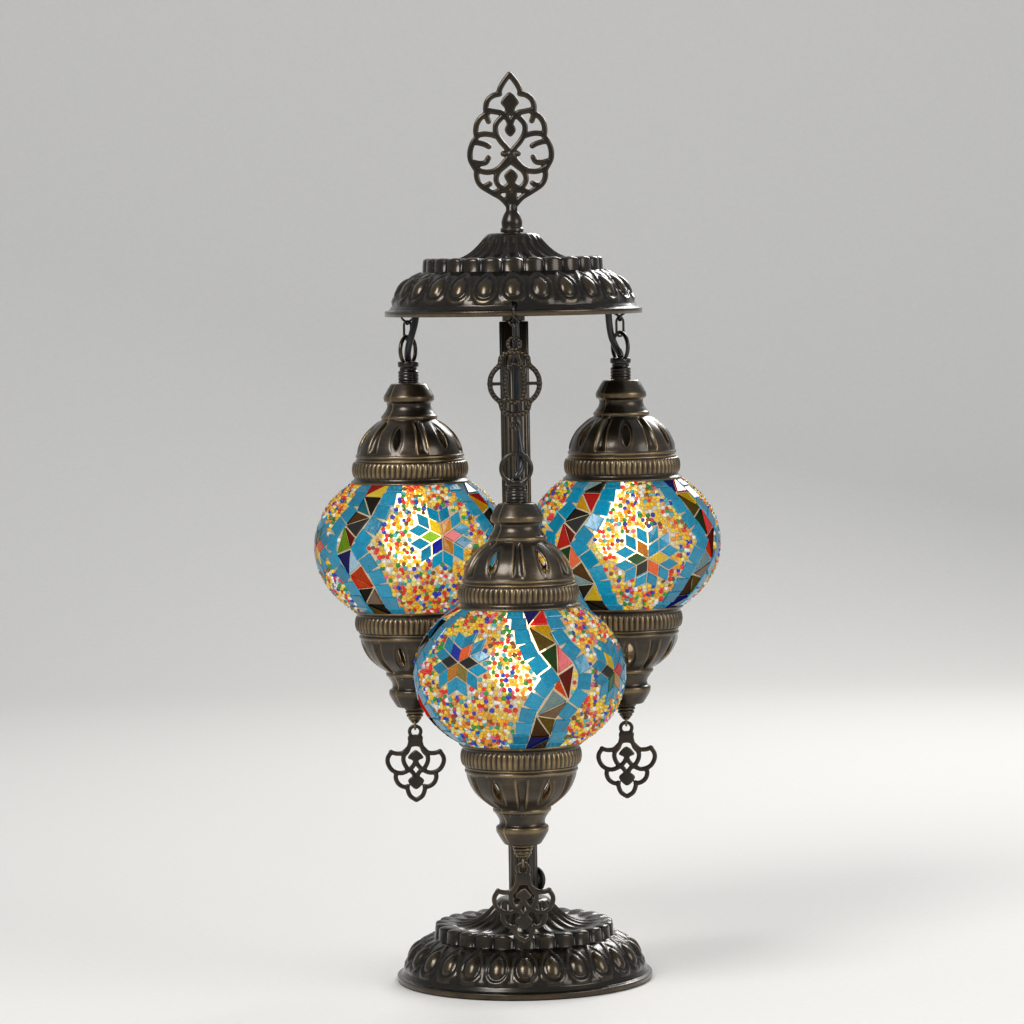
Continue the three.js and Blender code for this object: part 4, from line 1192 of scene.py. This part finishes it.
class LAMP_OT_fittings(bpy.types.Operator):
    """Turns the hangers, nuts, rods, holders and bulbs"""

    bl_idname = "mosaic_lamp.fittings"
    bl_label = "Fittings"

    def execute(self, context):
        for lamp in LAMPS:
            self.hanger(lamp)
            self.acorn(lamp)
            self.inside(lamp)
        return {"FINISHED"}

    def hanger(self, lamp):
        """Ribbed collar with a round ring cast on its top, which stands across the lamp's radius."""
        base = low_high(lamp.body("hanger"))[0][2]
        ribs = [[6.45 - 0.55 * (i % 2), z] for i, z in enumerate((0, 1.4, 2.3, 3.4, 4.3, 5.4, 6.3, 7.3))]
        profile = ribs + [[5.25, 7.9], [5.25, 9.6], [6.25, 9.9], [6.4, 11.4], [6.25, 13.0], [5.2, 13.3],
                          [2.8, 13.3], [2.8, 6.4], [4.6, 6.4], [4.6, 0]]
        profile = np.array(profile + profile[:1], float)
        angle = np.radians(np.arange(-65, 250, 5))
        ring = np.stack([0 * angle, RING_RADIUS * np.cos(angle), 19.9 + RING_RADIUS * np.sin(angle)], -1)
        parts = [lathe(eased(profile, 0.35), 56),
                 sweep(radial(ring, lamp.azimuth), RING_WIRE, RING_WIRE, sides=14)]
        hanger = make(lamp.body("ring_hanger"), joined(parts), material("black"), (lamp.x, lamp.y, base))
        dress(hanger, lamp.body("lamp"), "blackened", lamp.body("hanger"))

    def acorn(self, lamp):
        """Ribbed acorn nut that narrows to a wire eye."""
        top = low_high(lamp.body("acorn_nut"))[1][2]
        profile = [[0, -10.2], [1.5, -10], [2.4, -9.2], [3.2, -8.0], [3.9, -7.2], [4.2, -6.5],
                   [3.8, -6.1], [5.0, -5.7], [5.2, -4.9], [5.0, -4.2], [4.3, -3.9], [5.6, -3.5],
                   [5.8, -2.7], [5.6, -2.0], [4.9, -1.7], [6.2, -1.3], [6.4, -0.7], [6.2, 0],
                   [2.4, 0], [2.4, -6.4], [0, -6.4]]
        body = lathe(eased(profile, 0.25), 48)
        angle = np.arange(40) * TURN / 40
        ring = np.stack([0 * angle, EYE_RADIUS * np.cos(angle), -10.7 + EYE_RADIUS * np.sin(angle)], -1)
        eye = sweep(ring, EYE_WIRE, EYE_WIRE, closed=True, sides=10)
        nut = make(lamp.body("acorn"), joined([body, eye]), material("bronze"), (lamp.x, lamp.y, top))
        dress(nut, lamp.body("lamp"), "bronze", lamp.body("acorn_nut"))

    def inside(self, lamp):
        """What shows through the glass and the vents: holder, bulb, rod and spring bars."""
        at = lamp.z
        where = (lamp.x, lamp.y)
        body = lamp.body("lamp")
        turned_node(lamp.body("holder_body"), lamp.body("lamp_holder"), np.array([
            [2.8, 72], [2.8, 64], [7.4, 63], [7.4, 42], [13.5, 42], [13.5, 58], [12, 60], [12, 73],
            [9.5, 77], [4.6, 77], [4.6, 72]]) + [0, at], "holder", "holder", body, where)
        angle = np.linspace(-math.pi / 2, -math.pi / 2 + 0.82 * math.pi, 22)
        glass = np.stack([BULB_RADIUS * np.cos(angle), BULB_RISE + BULB_RADIUS * np.sin(angle)], -1)
        glass[0, 0] = 0
        neck = smooth_line([glass[-1], [10.4, 24], [8.6, 32], [8.2, 41]], 12)[1:]
        screw = [[6.6, 42], [6.6, 60], [3, 63], [0, 63]]
        bulb = make(lamp.body("bulb_glass"), lathe(np.vstack([glass, neck, screw]), 48),
                    material("bulb"), (*where, at))
        dress(bulb, body, "bulb", lamp.body("bulb"))
        low, high = low_high(lamp.body("tie_rod"))
        head = high[2] - ROD_HEAD[1]
        turned_node(lamp.body("rod"), lamp.body("tie_rod"), [
            [0, low[2]], [ROD_RADIUS, low[2]], [ROD_RADIUS, head], [ROD_HEAD[0], head],
            [ROD_HEAD[0], high[2]], [0, high[2]]], "steel", "steel", body, where, segments=32)
        nipple = lamp.body("nipple")
        turned_node(lamp.body("threaded_nipple"), nipple, tube(nipple, NIPPLE_BORE, NIPPLE_RADIUS),
                    "steel", "steel", body, where, segments=40)
        for end in ("top", "bottom"):
            cad = lamp.body(end + "_spring_bar")
            bevelled(frame["nodes"][cad], lamp.body(end + "_spring"), cad, body, "steel", "steel", 0.3)


# ---- Mosaic ----
RED = (0.75, 0.012, 0.01)
ORANGE = (1.0, 0.11, 0.01)
YELLOW = (1.0, 0.62, 0.01)
AMBER = (0.7, 0.24, 0.01)
GREEN = (0.01, 0.11, 0.02)
LIME = (0.3, 0.6, 0.02)
DEEP_BLUE = (0.004, 0.02, 0.42)
DARK = (0.01, 0.008, 0.006)
DARK_RED = (0.28, 0.004, 0.004)
BROWN = (0.16, 0.07, 0.015)
OLIVE = (0.24, 0.17, 0.02)
PALE = (0.42, 0.66, 0.85)
TURQUOISE = (0.002, 0.29, 0.5)
GROUT = (0.95, 0.78, 0.5)
BEAD_TONES = [
    ((1.0, 0.55, 0.02), 30), ((0.9, 0.3, 0.01), 12), ((1.0, 0.8, 0.25), 12), ((0.9, 0.86, 0.78), 13),
    ((0.78, 0.02, 0.015), 13), ((0.01, 0.035, 0.5), 7), ((0.01, 0.28, 0.04), 6), ((0.05, 0.42, 0.5), 6),
    ((0.75, 0.12, 0.25), 3), ((0.2, 0.07, 0.01), 6),
]
# Stars as (longitude, height, six tones); strips as (longitude, way of its bow, tones of its triangles).
TONES_A = [DEEP_BLUE, RED, YELLOW, OLIVE, GREEN, RED, DARK_RED, ORANGE, PALE, BROWN, OLIVE, BROWN,
           DEEP_BLUE, DARK]
TONES_B = [RED, YELLOW, DARK, TURQUOISE, BROWN, DARK, DARK_RED, LIME, DEEP_BLUE, PALE, ORANGE, ORANGE,
           DARK, BROWN, DARK, OLIVE]
TONES_C = [PALE, DARK, RED, YELLOW, DARK, DARK, DARK_RED, RED, GREEN, ORANGE, BROWN, PALE, DARK,
           YELLOW, DARK, DARK]
PATTERNS = {
    "front": {
        "stars": [(-36, 12, [DARK, ORANGE, DEEP_BLUE, DARK, AMBER, OLIVE]),
                  (62, 4, [RED, TURQUOISE, YELLOW, DARK, GREEN, AMBER]),
                  (150, 8, [YELLOW, RED, DEEP_BLUE, GREEN, ORANGE, DARK]),
                  (236, 4, [AMBER, DARK, RED, YELLOW, DEEP_BLUE, GREEN])],
        "strips": [(14, 1, TONES_A), (106, -1, TONES_B), (196, 1, TONES_C), (-76, -1, TONES_B)],
    },
    "left": {
        "stars": [(20, 9, [RED, AMBER, YELLOW, LIME, DEEP_BLUE, AMBER]),
                  (106, 4, [DARK, ORANGE, GREEN, RED, YELLOW, OLIVE]),
                  (196, 8, [DEEP_BLUE, YELLOW, RED, AMBER, DARK, GREEN]),
                  (284, 2, [ORANGE, GREEN, DARK, RED, AMBER, YELLOW])],
        "strips": [(-30, -1, TONES_B), (61, 1, TONES_C), (151, -1, TONES_A), (241, 1, TONES_C)],
    },
    "right": {
        "stars": [(13, -6, [YELLOW, TURQUOISE, AMBER, GREEN, DARK, ORANGE]),
                  (101, 5, [RED, YELLOW, DEEP_BLUE, DARK, ORANGE, GREEN]),
                  (190, 2, [AMBER, RED, GREEN, YELLOW, DARK, DEEP_BLUE]),
                  (278, 8, [DARK, AMBER, ORANGE, DEEP_BLUE, RED, LIME])],
        "strips": [(-27, -1, TONES_C), (52, 1, TONES_A), (146, -1, TONES_B), (235, 1, TONES_B)],
    },
}
GLOBE_HALF_HEIGHT = 47.8
MOSAIC_DEPTH = 1.3          # from the globe's outside down to the glass under its tiles
BLOWN_WALL = 2.6
NECK_OUTER, NECK_INNER, NECK_TOP = 30.3, 28.0, 45.0
TILE_THICKNESS = 1.5
STRIP_COLUMN = 11.0         # from a strip's middle line to that of its squares
BOW_DEGREES = 13.0
BOW_HEIGHT = 15.0


class Skin:
    """The globe's outside, a spheroid, walked by longitude and by length from the equator."""

    def __init__(self, radius):
        self.radius = radius
        angle = np.linspace(-1.35, 1.35, 600)
        r, z = radius * np.cos(angle), GLOBE_HALF_HEIGHT * np.sin(angle)
        length = np.concatenate([[0], np.cumsum(np.hypot(np.diff(r), np.diff(z)))])
        self.length = length - np.interp(0, z, length)
        self.angle = angle

    def at(self, longitude, along, lift=0.0):
        """Point and outward normal; longitude 0 faces -Y and grows towards +X."""
        angle = np.interp(along, self.length, self.angle)
        r, z = self.radius * np.cos(angle), GLOBE_HALF_HEIGHT * np.sin(angle)
        out_r, out_z = np.cos(angle) / self.radius, np.sin(angle) / GLOBE_HALF_HEIGHT
        size = np.hypot(out_r, out_z)
        east, south = np.sin(longitude), -np.cos(longitude)
        normal = np.stack([out_r / size * east, out_r / size * south, out_z / size + 0 * east], -1)
        point = np.stack([r * east, r * south, z + 0 * east], -1)
        return point + np.asarray(lift)[..., None] * normal, normal

    def ring_radius(self, along):
        return self.radius * np.cos(np.interp(along, self.length, self.angle))

    def along_of(self, z):
        return np.interp(math.asin(z / GLOBE_HALF_HEIGHT), self.angle, self.length)


def star_tiles(longitude, height, tones, skin, side, gap):
    """Six rhombi round a hub and twelve turquoise ones outside them, as (corners, tone)."""
    tiles = []
    along = skin.along_of(height)
    for k, tone in enumerate(tones):
        way = math.radians(60 * k)
        left = side * np.array([math.cos(way + math.pi / 6), math.sin(way + math.pi / 6)])
        right = side * np.array([math.cos(way - math.pi / 6), math.sin(way - math.pi / 6)])
        tip = left + right
        tiles.append((np.array([[0, 0], right, tip, left]), tone))
        tiles.append((np.array([left, tip, tip + left, 2 * left]), TURQUOISE))
        tiles.append((np.array([right, 2 * right, tip + right, tip]), TURQUOISE))
    placed = []
    for corners, tone in tiles:
        corners = shrunk(corners, gap / 2)
        up = along + corners[:, 1]
        placed.append((longitude + corners[:, 0] / skin.ring_radius(up), up, tone))
    return placed


def shrunk(corners, by):
    """The corners drawn in so that each side moves by about the given length."""
    middle = corners.mean(0)
    following = np.roll(corners, -1, 0)
    edge = following - corners
    turned = np.stack([edge[:, 1], -edge[:, 0]], -1) / np.linalg.norm(edge, axis=1)[:, None]
    inradius = np.abs(((corners - middle) * turned).sum(1)).min()
    return middle + (corners - middle) * max(0.2, 1 - by / inradius)


def strip_course(longitude, bow, skin, top, offset):
    """A line beside a strip's middle line, as longitudes, lengths up, its own length and its ways.

    The middle line is longitude + bow * exp(-(up / reach)^2). Both ways are in millimetres on the
    skin: along the line, and across it to the right.
    """
    up = np.linspace(-top, top, 500)
    middle = longitude + bow * math.radians(BOW_DEGREES) * np.exp(-((up - 3) / BOW_HEIGHT) ** 2)
    ring = skin.ring_radius(up)
    east = np.gradient(middle, up) * ring
    along = np.stack([east, np.ones_like(east)], -1) / np.hypot(east, 1)[:, None]
    across = np.stack([along[:, 1], -along[:, 0]], -1)
    line = middle + offset * across[:, 0] / ring
    height = up + offset * across[:, 1]
    keep = np.abs(height) <= top
    line, height, along, across = line[keep], height[keep], along[keep], across[keep]
    steps = np.hypot(np.diff(line) * skin.ring_radius(height)[1:], np.diff(height))
    return line, height, np.concatenate([[0], np.cumsum(steps)]), along, across


def strip_tiles(longitude, bow, tones, skin, top, side, gap):
    """A column of paired triangles between two columns of square tiles, as (corners, tone)."""
    placed = []
    for offset in (-STRIP_COLUMN, STRIP_COLUMN):
        line, up, length, along, across = strip_course(longitude, bow, skin, top, offset)
        count = int(length[-1] / (side + gap))
        pitch = length[-1] / count
        for k in range(count):
            at = np.searchsorted(length, (k + 0.5) * pitch)
            tall, wide = along[at] * (pitch - gap) / 2, across[at] * side / 2
            corners = np.array([-wide - tall, wide - tall, wide + tall, -wide + tall])
            height = np.clip(up[at] + corners[:, 1], -top - 1, top + 1)
            placed.append((line[at] + corners[:, 0] / skin.ring_radius(up[at]), height, TURQUOISE))
    reach = STRIP_COLUMN - side / 2 - gap / 2
    line, up, length, along, across = strip_course(longitude, bow, skin, top, 0)
    rows = len(tones) // 2
    stations = np.searchsorted(length, np.linspace(length[-1] - 0.01, 0, rows + 1))
    for k in range(rows):
        high, low = stations[k], stations[k + 1]
        lean = 1 if k % 2 else -1
        spots = {(at, way): np.array([line[at] + way * reach * across[at, 0] / skin.ring_radius(up[at]),
                                      up[at] + way * reach * across[at, 1]])
                 for at in (high, low) for way in (-1, 1)}
        upper = [spots[high, -1], spots[high, 1], spots[low, lean]]
        lower = [spots[high, -lean], spots[low, lean], spots[low, -lean]]
        for corners, tone in ((upper, tones[2 * k]), (lower, tones[2 * k + 1])):
            ring = skin.ring_radius(up[high] / 2 + up[low] / 2)
            flat = shrunk(np.array(corners) * [ring, 1], gap / 2)
            placed.append((flat[:, 0] / ring, np.clip(flat[:, 1], -top - 1, top + 1), tone))
    return placed


def tile_part(longitude, along, skin, lift, thickness):
    """A flat glass tile: its corners on the skin, its top face drawn in for a soft edge."""
    low, _ = skin.at(longitude, along, lift)
    high, _ = skin.at(longitude, along, lift + thickness * 0.75)
    top, _ = skin.at(longitude, along, lift + thickness)
    top = top + (top.mean(0) - top) * 0.09
    return joined([grid_part(np.stack([low, high, top]), around=True),
                   fan_part(top, top.mean(0)), fan_part(low, low.mean(0), flip=True)])


def bead_places(skin, pitch, limit, placed, rng):
    """Staggered rows of beads with jitter, leaving out those that would stand on a tile."""
    rows = int(2 * limit / (pitch * 0.9))
    longitudes, alongs = [], []
    for along in np.linspace(-limit, limit, rows):
        count = int(TURN * skin.ring_radius(along) / pitch)
        start = rng.random() * TURN
        longitudes.append(start + np.arange(count) * TURN / count)
        alongs.append(np.full(count, along))
    longitude, along = np.concatenate(longitudes), np.concatenate(alongs)
    ring = skin.ring_radius(along)
    longitude = longitude + rng.normal(0, 0.16, len(along)) * pitch / ring
    along = along + rng.normal(0, 0.14, len(along)) * pitch
    free = np.ones(len(along), bool)
    for tile_longitude, tile_along, _ in placed:
        centre = tile_longitude.mean(), tile_along.mean()
        away = (longitude - centre[0] + math.pi) % TURN - math.pi
        spot = np.stack([away * ring, along - centre[1]], -1)
        corners = np.stack([(tile_longitude - centre[0]) * skin.ring_radius(centre[1]),
                            tile_along - centre[1]], -1)
        edge = np.roll(corners, -1, 0) - corners
        following = corners + edge
        area = (corners[:, 0] * following[:, 1] - corners[:, 1] * following[:, 0]).sum()
        outward = np.stack([edge[:, 1], -edge[:, 0]], -1) * np.sign(area)
        outward /= np.linalg.norm(edge, axis=1)[:, None]
        beyond = ((spot[:, None] - corners) * outward).sum(-1).max(1)
        free &= beyond > pitch * 0.36
    return longitude[free], along[free]


def bead_template(radius):
    """A seed bead: a flattened ball with a dimple where its hole is."""
    profile = np.array([[0, -0.62], [0.72, -0.55], [1.0, 0.0], [0.8, 0.52], [0.42, 0.62], [0, 0.2]])
    return lathe(profile * radius, 7)


def tone_attribute(piece, tones, points_each):
    """A colour for each point, the same over each bead or tile."""
    colour = np.repeat(np.column_stack([tones, np.ones(len(tones))]), points_each, axis=0)
    attribute = piece.data.attributes.new("tone", "FLOAT_COLOR", "POINT")
    attribute.data.foreach_set("color", colour.astype(np.float32).ravel())


class LAMP_OT_mosaic(bpy.types.Operator):
    """Sets the beads and tiles on each globe over its blown glass"""

    bl_idname = "mosaic_lamp.mosaic"
    bl_label = "Mosaic globes"

    def execute(self, context):
        for number, lamp in enumerate(LAMPS):
            rng = np.random.default_rng(sizes().seed + number)
            skin = Skin(lamp.radius - MOSAIC_DEPTH)
            limit = skin.along_of(lamp.cap_lip) + 1.5
            self.glass(lamp, skin)
            placed = self.tiles(lamp, skin, limit, rng)
            self.beads(lamp, skin, limit, placed, rng)
        return {"FINISHED"}

    def glass(self, lamp, skin):
        """The blown glass under the mosaic, with its grout: a spheroid shell with two necks."""
        angle = np.linspace(-0.945, 0.945, 64)
        outer = np.stack([skin.radius * np.cos(angle), GLOBE_HALF_HEIGHT * np.sin(angle)], -1)
        inner = np.stack([(skin.radius - BLOWN_WALL) * np.cos(angle[::-1]),
                          (GLOBE_HALF_HEIGHT - BLOWN_WALL) * np.sin(angle[::-1])], -1)
        foot = 0.1 - NECK_TOP
        profile = np.vstack([[[NECK_OUTER, foot]], outer[outer[:, 0] > NECK_OUTER + 0.1],
                             [[NECK_OUTER, NECK_TOP], [NECK_INNER, NECK_TOP]],
                             inner[inner[:, 0] > NECK_INNER + 1], [[NECK_INNER, foot]]])
        globe = make(lamp.body("globe_glass"), lathe(profile, 128), material("grout"), lamp.centre)
        tone_attribute(globe, np.tile(GROUT, (len(globe.data.vertices), 1)), 1)
        dress(globe, lamp.body("lamp"), "mosaic", lamp.body("globe"))

    def tiles(self, lamp, skin, limit, rng):
        tile, rhomb, gap = sizes().tile / MM, sizes().rhomb / MM, sizes().grout / MM
        placed = []
        for longitude, bow, tones in PATTERNS[lamp.name]["strips"]:
            placed += strip_tiles(math.radians(longitude), bow, tones, skin, limit, tile, gap)
        for longitude, height, tones in PATTERNS[lamp.name]["stars"]:
            placed += star_tiles(math.radians(longitude), height, tones, skin, rhomb, gap)
        parts, tones = [], []
        for longitude, along, tone in placed:
            lift = -0.15 + 0.2 * rng.random()
            part = tile_part(longitude, along, skin, lift, TILE_THICKNESS)
            parts.append(part)
            shade = 0.8 + 0.4 * rng.random()
            tones.append(np.tile(np.clip(np.array(tone) * shade, 0, 1), (len(part[0]), 1)))
        tile_set = make(lamp.body("glass_tiles"), joined(parts), material("tile"), lamp.centre,
                        smooth=False, turn_out=False)
        tone_attribute(tile_set, np.vstack(tones), 1)
        dress(tile_set, lamp.body("lamp"), "mosaic")
        return placed

    def beads(self, lamp, skin, limit, placed, rng):
        size = sizes().bead / MM
        longitude, along = bead_places(skin, size * 0.86, limit, placed, rng)
        count = len(along)
        grow = 0.88 + 0.26 * rng.random(count)
        centre, normal = skin.at(longitude, along, np.full(count, 0.35))
        tilt = normal + rng.normal(0, 0.45, (count, 3))
        tilt /= np.linalg.norm(tilt, axis=1)[:, None]
        side = np.cross(tilt, rng.normal(0, 1, (count, 3)))
        side /= np.linalg.norm(side, axis=1)[:, None]
        frames = np.stack([side, np.cross(tilt, side), tilt], -1) * grow[:, None, None]
        template = bead_template(size / 2)
        shares = np.array([share for _, share in BEAD_TONES], float)
        picks = rng.choice(len(BEAD_TONES), count, p=shares / shares.sum())
        tones = np.array([tone for tone, _ in BEAD_TONES])[picks]
        tones = np.clip(tones * (0.75 + 0.5 * rng.random((count, 1))), 0, 1)
        beads = make(lamp.body("glass_beads"), copies(template, frames, centre), material("bead"),
                     lamp.centre, turn_out=False)
        tone_attribute(beads, tones, len(template[0]))
        dress(beads, lamp.body("lamp"), "mosaic")


# ---- Stage ----
CAMERA_PLACE = (-0.0003, -2.4, 0.437)
CAMERA_DOWN, CAMERA_ROLL = 3.65, 1.0        # degrees


class LAMP_OT_camera(bpy.types.Operator):
    """Sets the camera in front of the lamp, a little above its canopy's rim"""

    bl_idname = "mosaic_lamp.camera"
    bl_label = "Camera"

    def execute(self, context):
        data = bpy.data.cameras.new("front_view")
        camera = bpy.data.objects.new("front_view", data)
        context.scene.collection.objects.link(camera)
        data.lens = 140
        data.sensor_width = 36
        data.clip_end = 50
        camera.location = CAMERA_PLACE
        camera.rotation_euler = (math.radians(90 - CAMERA_DOWN), math.radians(CAMERA_ROLL), 0.0)
        context.scene.camera = camera
        return {"FINISHED"}


class LAMP_OT_stage(bpy.types.Operator):
    """Lays the pale floor and hangs the soft lights"""

    bl_idname = "mosaic_lamp.stage"
    bl_label = "Stage"

    def execute(self, context):
        self.floor()
        self.area("key_light", (-0.9, -1.3, 1.5), (0, 0, 0.3), 0.9, 26)
        self.area("fill_light", (1.5, -1.0, 0.9), (0, 0, 0.3), 1.1, 13)
        self.area("rim_light", (0.6, 1.4, 1.2), (0, 0, 0.3), 0.8, 15)
        world = bpy.data.worlds.new("studio")
        world.use_nodes = True
        world.node_tree.nodes["Background"].inputs[0].default_value = (0.8, 0.84, 0.9, 1)
        world.node_tree.nodes["Background"].inputs[1].default_value = 0.5
        context.scene.world = world
        context.scene.view_settings.view_transform = "Standard"
        return {"FINISHED"}

    def floor(self):
        """A sweep: flat ground that curves up behind the lamp, as a profile carried along X."""
        bend = np.linspace(0, math.pi / 2, 24)
        back, radius = 1.6, 0.9
        curve = np.stack([back + radius * np.sin(bend), radius * (1 - np.cos(bend))], -1)
        profile = np.vstack([[[-6, 0]], curve, [[back + radius, 6]]])
        x = np.array([-7.0, 7.0])
        grid = np.stack([np.stack([np.full(2, y), np.full(2, z)], -1) for y, z in profile])
        points = np.concatenate([np.broadcast_to(x[None, :, None], (len(profile), 2, 1)), grid], -1)
        n = Nodes("studio_paper")
        grain = n.noise(n.coordinates("Object"), 220, 4.0)
        tone = n.blend(grain, rgba((0.74, 0.72, 0.68)), rgba((0.8, 0.78, 0.75)))
        paper = n.shade({"Base Color": tone, "Roughness": 0.75, "Normal": n.bump(grain, 0.05, 0.0004)})
        return make("floor", grid_part(points / MM), paper, turn_out=False)

    def area(self, name, place, target, size, power):
        data = bpy.data.lights.new(name, "AREA")
        data.shape = "DISK"
        data.size = size
        data.energy = power
        light = bpy.data.objects.new(name, data)
        bpy.context.scene.collection.objects.link(light)
        light.location = place
        light.rotation_euler = (Vector(target) - Vector(place)).to_track_quat("-Z", "Y").to_euler()


OPERATORS = (
    LAMP_OT_camera, LAMP_OT_leads, LAMP_OT_chains, LAMP_OT_dishes, LAMP_OT_stand, LAMP_OT_finial,
    LAMP_OT_pendants, LAMP_OT_ornament, LAMP_OT_caps, LAMP_OT_fittings, LAMP_OT_mosaic, LAMP_OT_stage,
)


class LAMP_PT_panel(bpy.types.Panel):
    """Lists the lamp's settings and the steps that build it"""

    bl_idname = "LAMP_PT_panel"
    bl_label = "Mosaic Lamp"
    bl_space_type = "VIEW_3D"
    bl_region_type = "UI"
    bl_category = "Mosaic Lamp"

    def draw(self, context):
        for settings in (context.scene.mosaic_lamp_sizes, context.scene.mosaic_lamp_colours):
            for key in settings.__annotations__:
                self.layout.prop(settings, key)
        for operator in OPERATORS:
            self.layout.operator(operator.bl_idname)


CLASSES = (LampSizes, LampColours, *OPERATORS, LAMP_PT_panel)


def register():
    for cls in CLASSES:
        bpy.utils.register_class(cls)
    bpy.types.Scene.mosaic_lamp_sizes = bpy.props.PointerProperty(type=LampSizes)
    bpy.types.Scene.mosaic_lamp_colours = bpy.props.PointerProperty(type=LampColours)


def unregister():
    del bpy.types.Scene.mosaic_lamp_colours
    del bpy.types.Scene.mosaic_lamp_sizes
    for cls in reversed(CLASSES):
        bpy.utils.unregister_class(cls)


def main():
    register()
    for operator in OPERATORS:
        group, name = operator.bl_idname.split(".")
        getattr(getattr(bpy.ops, group), name)()


if __name__ == "__main__":
    main()
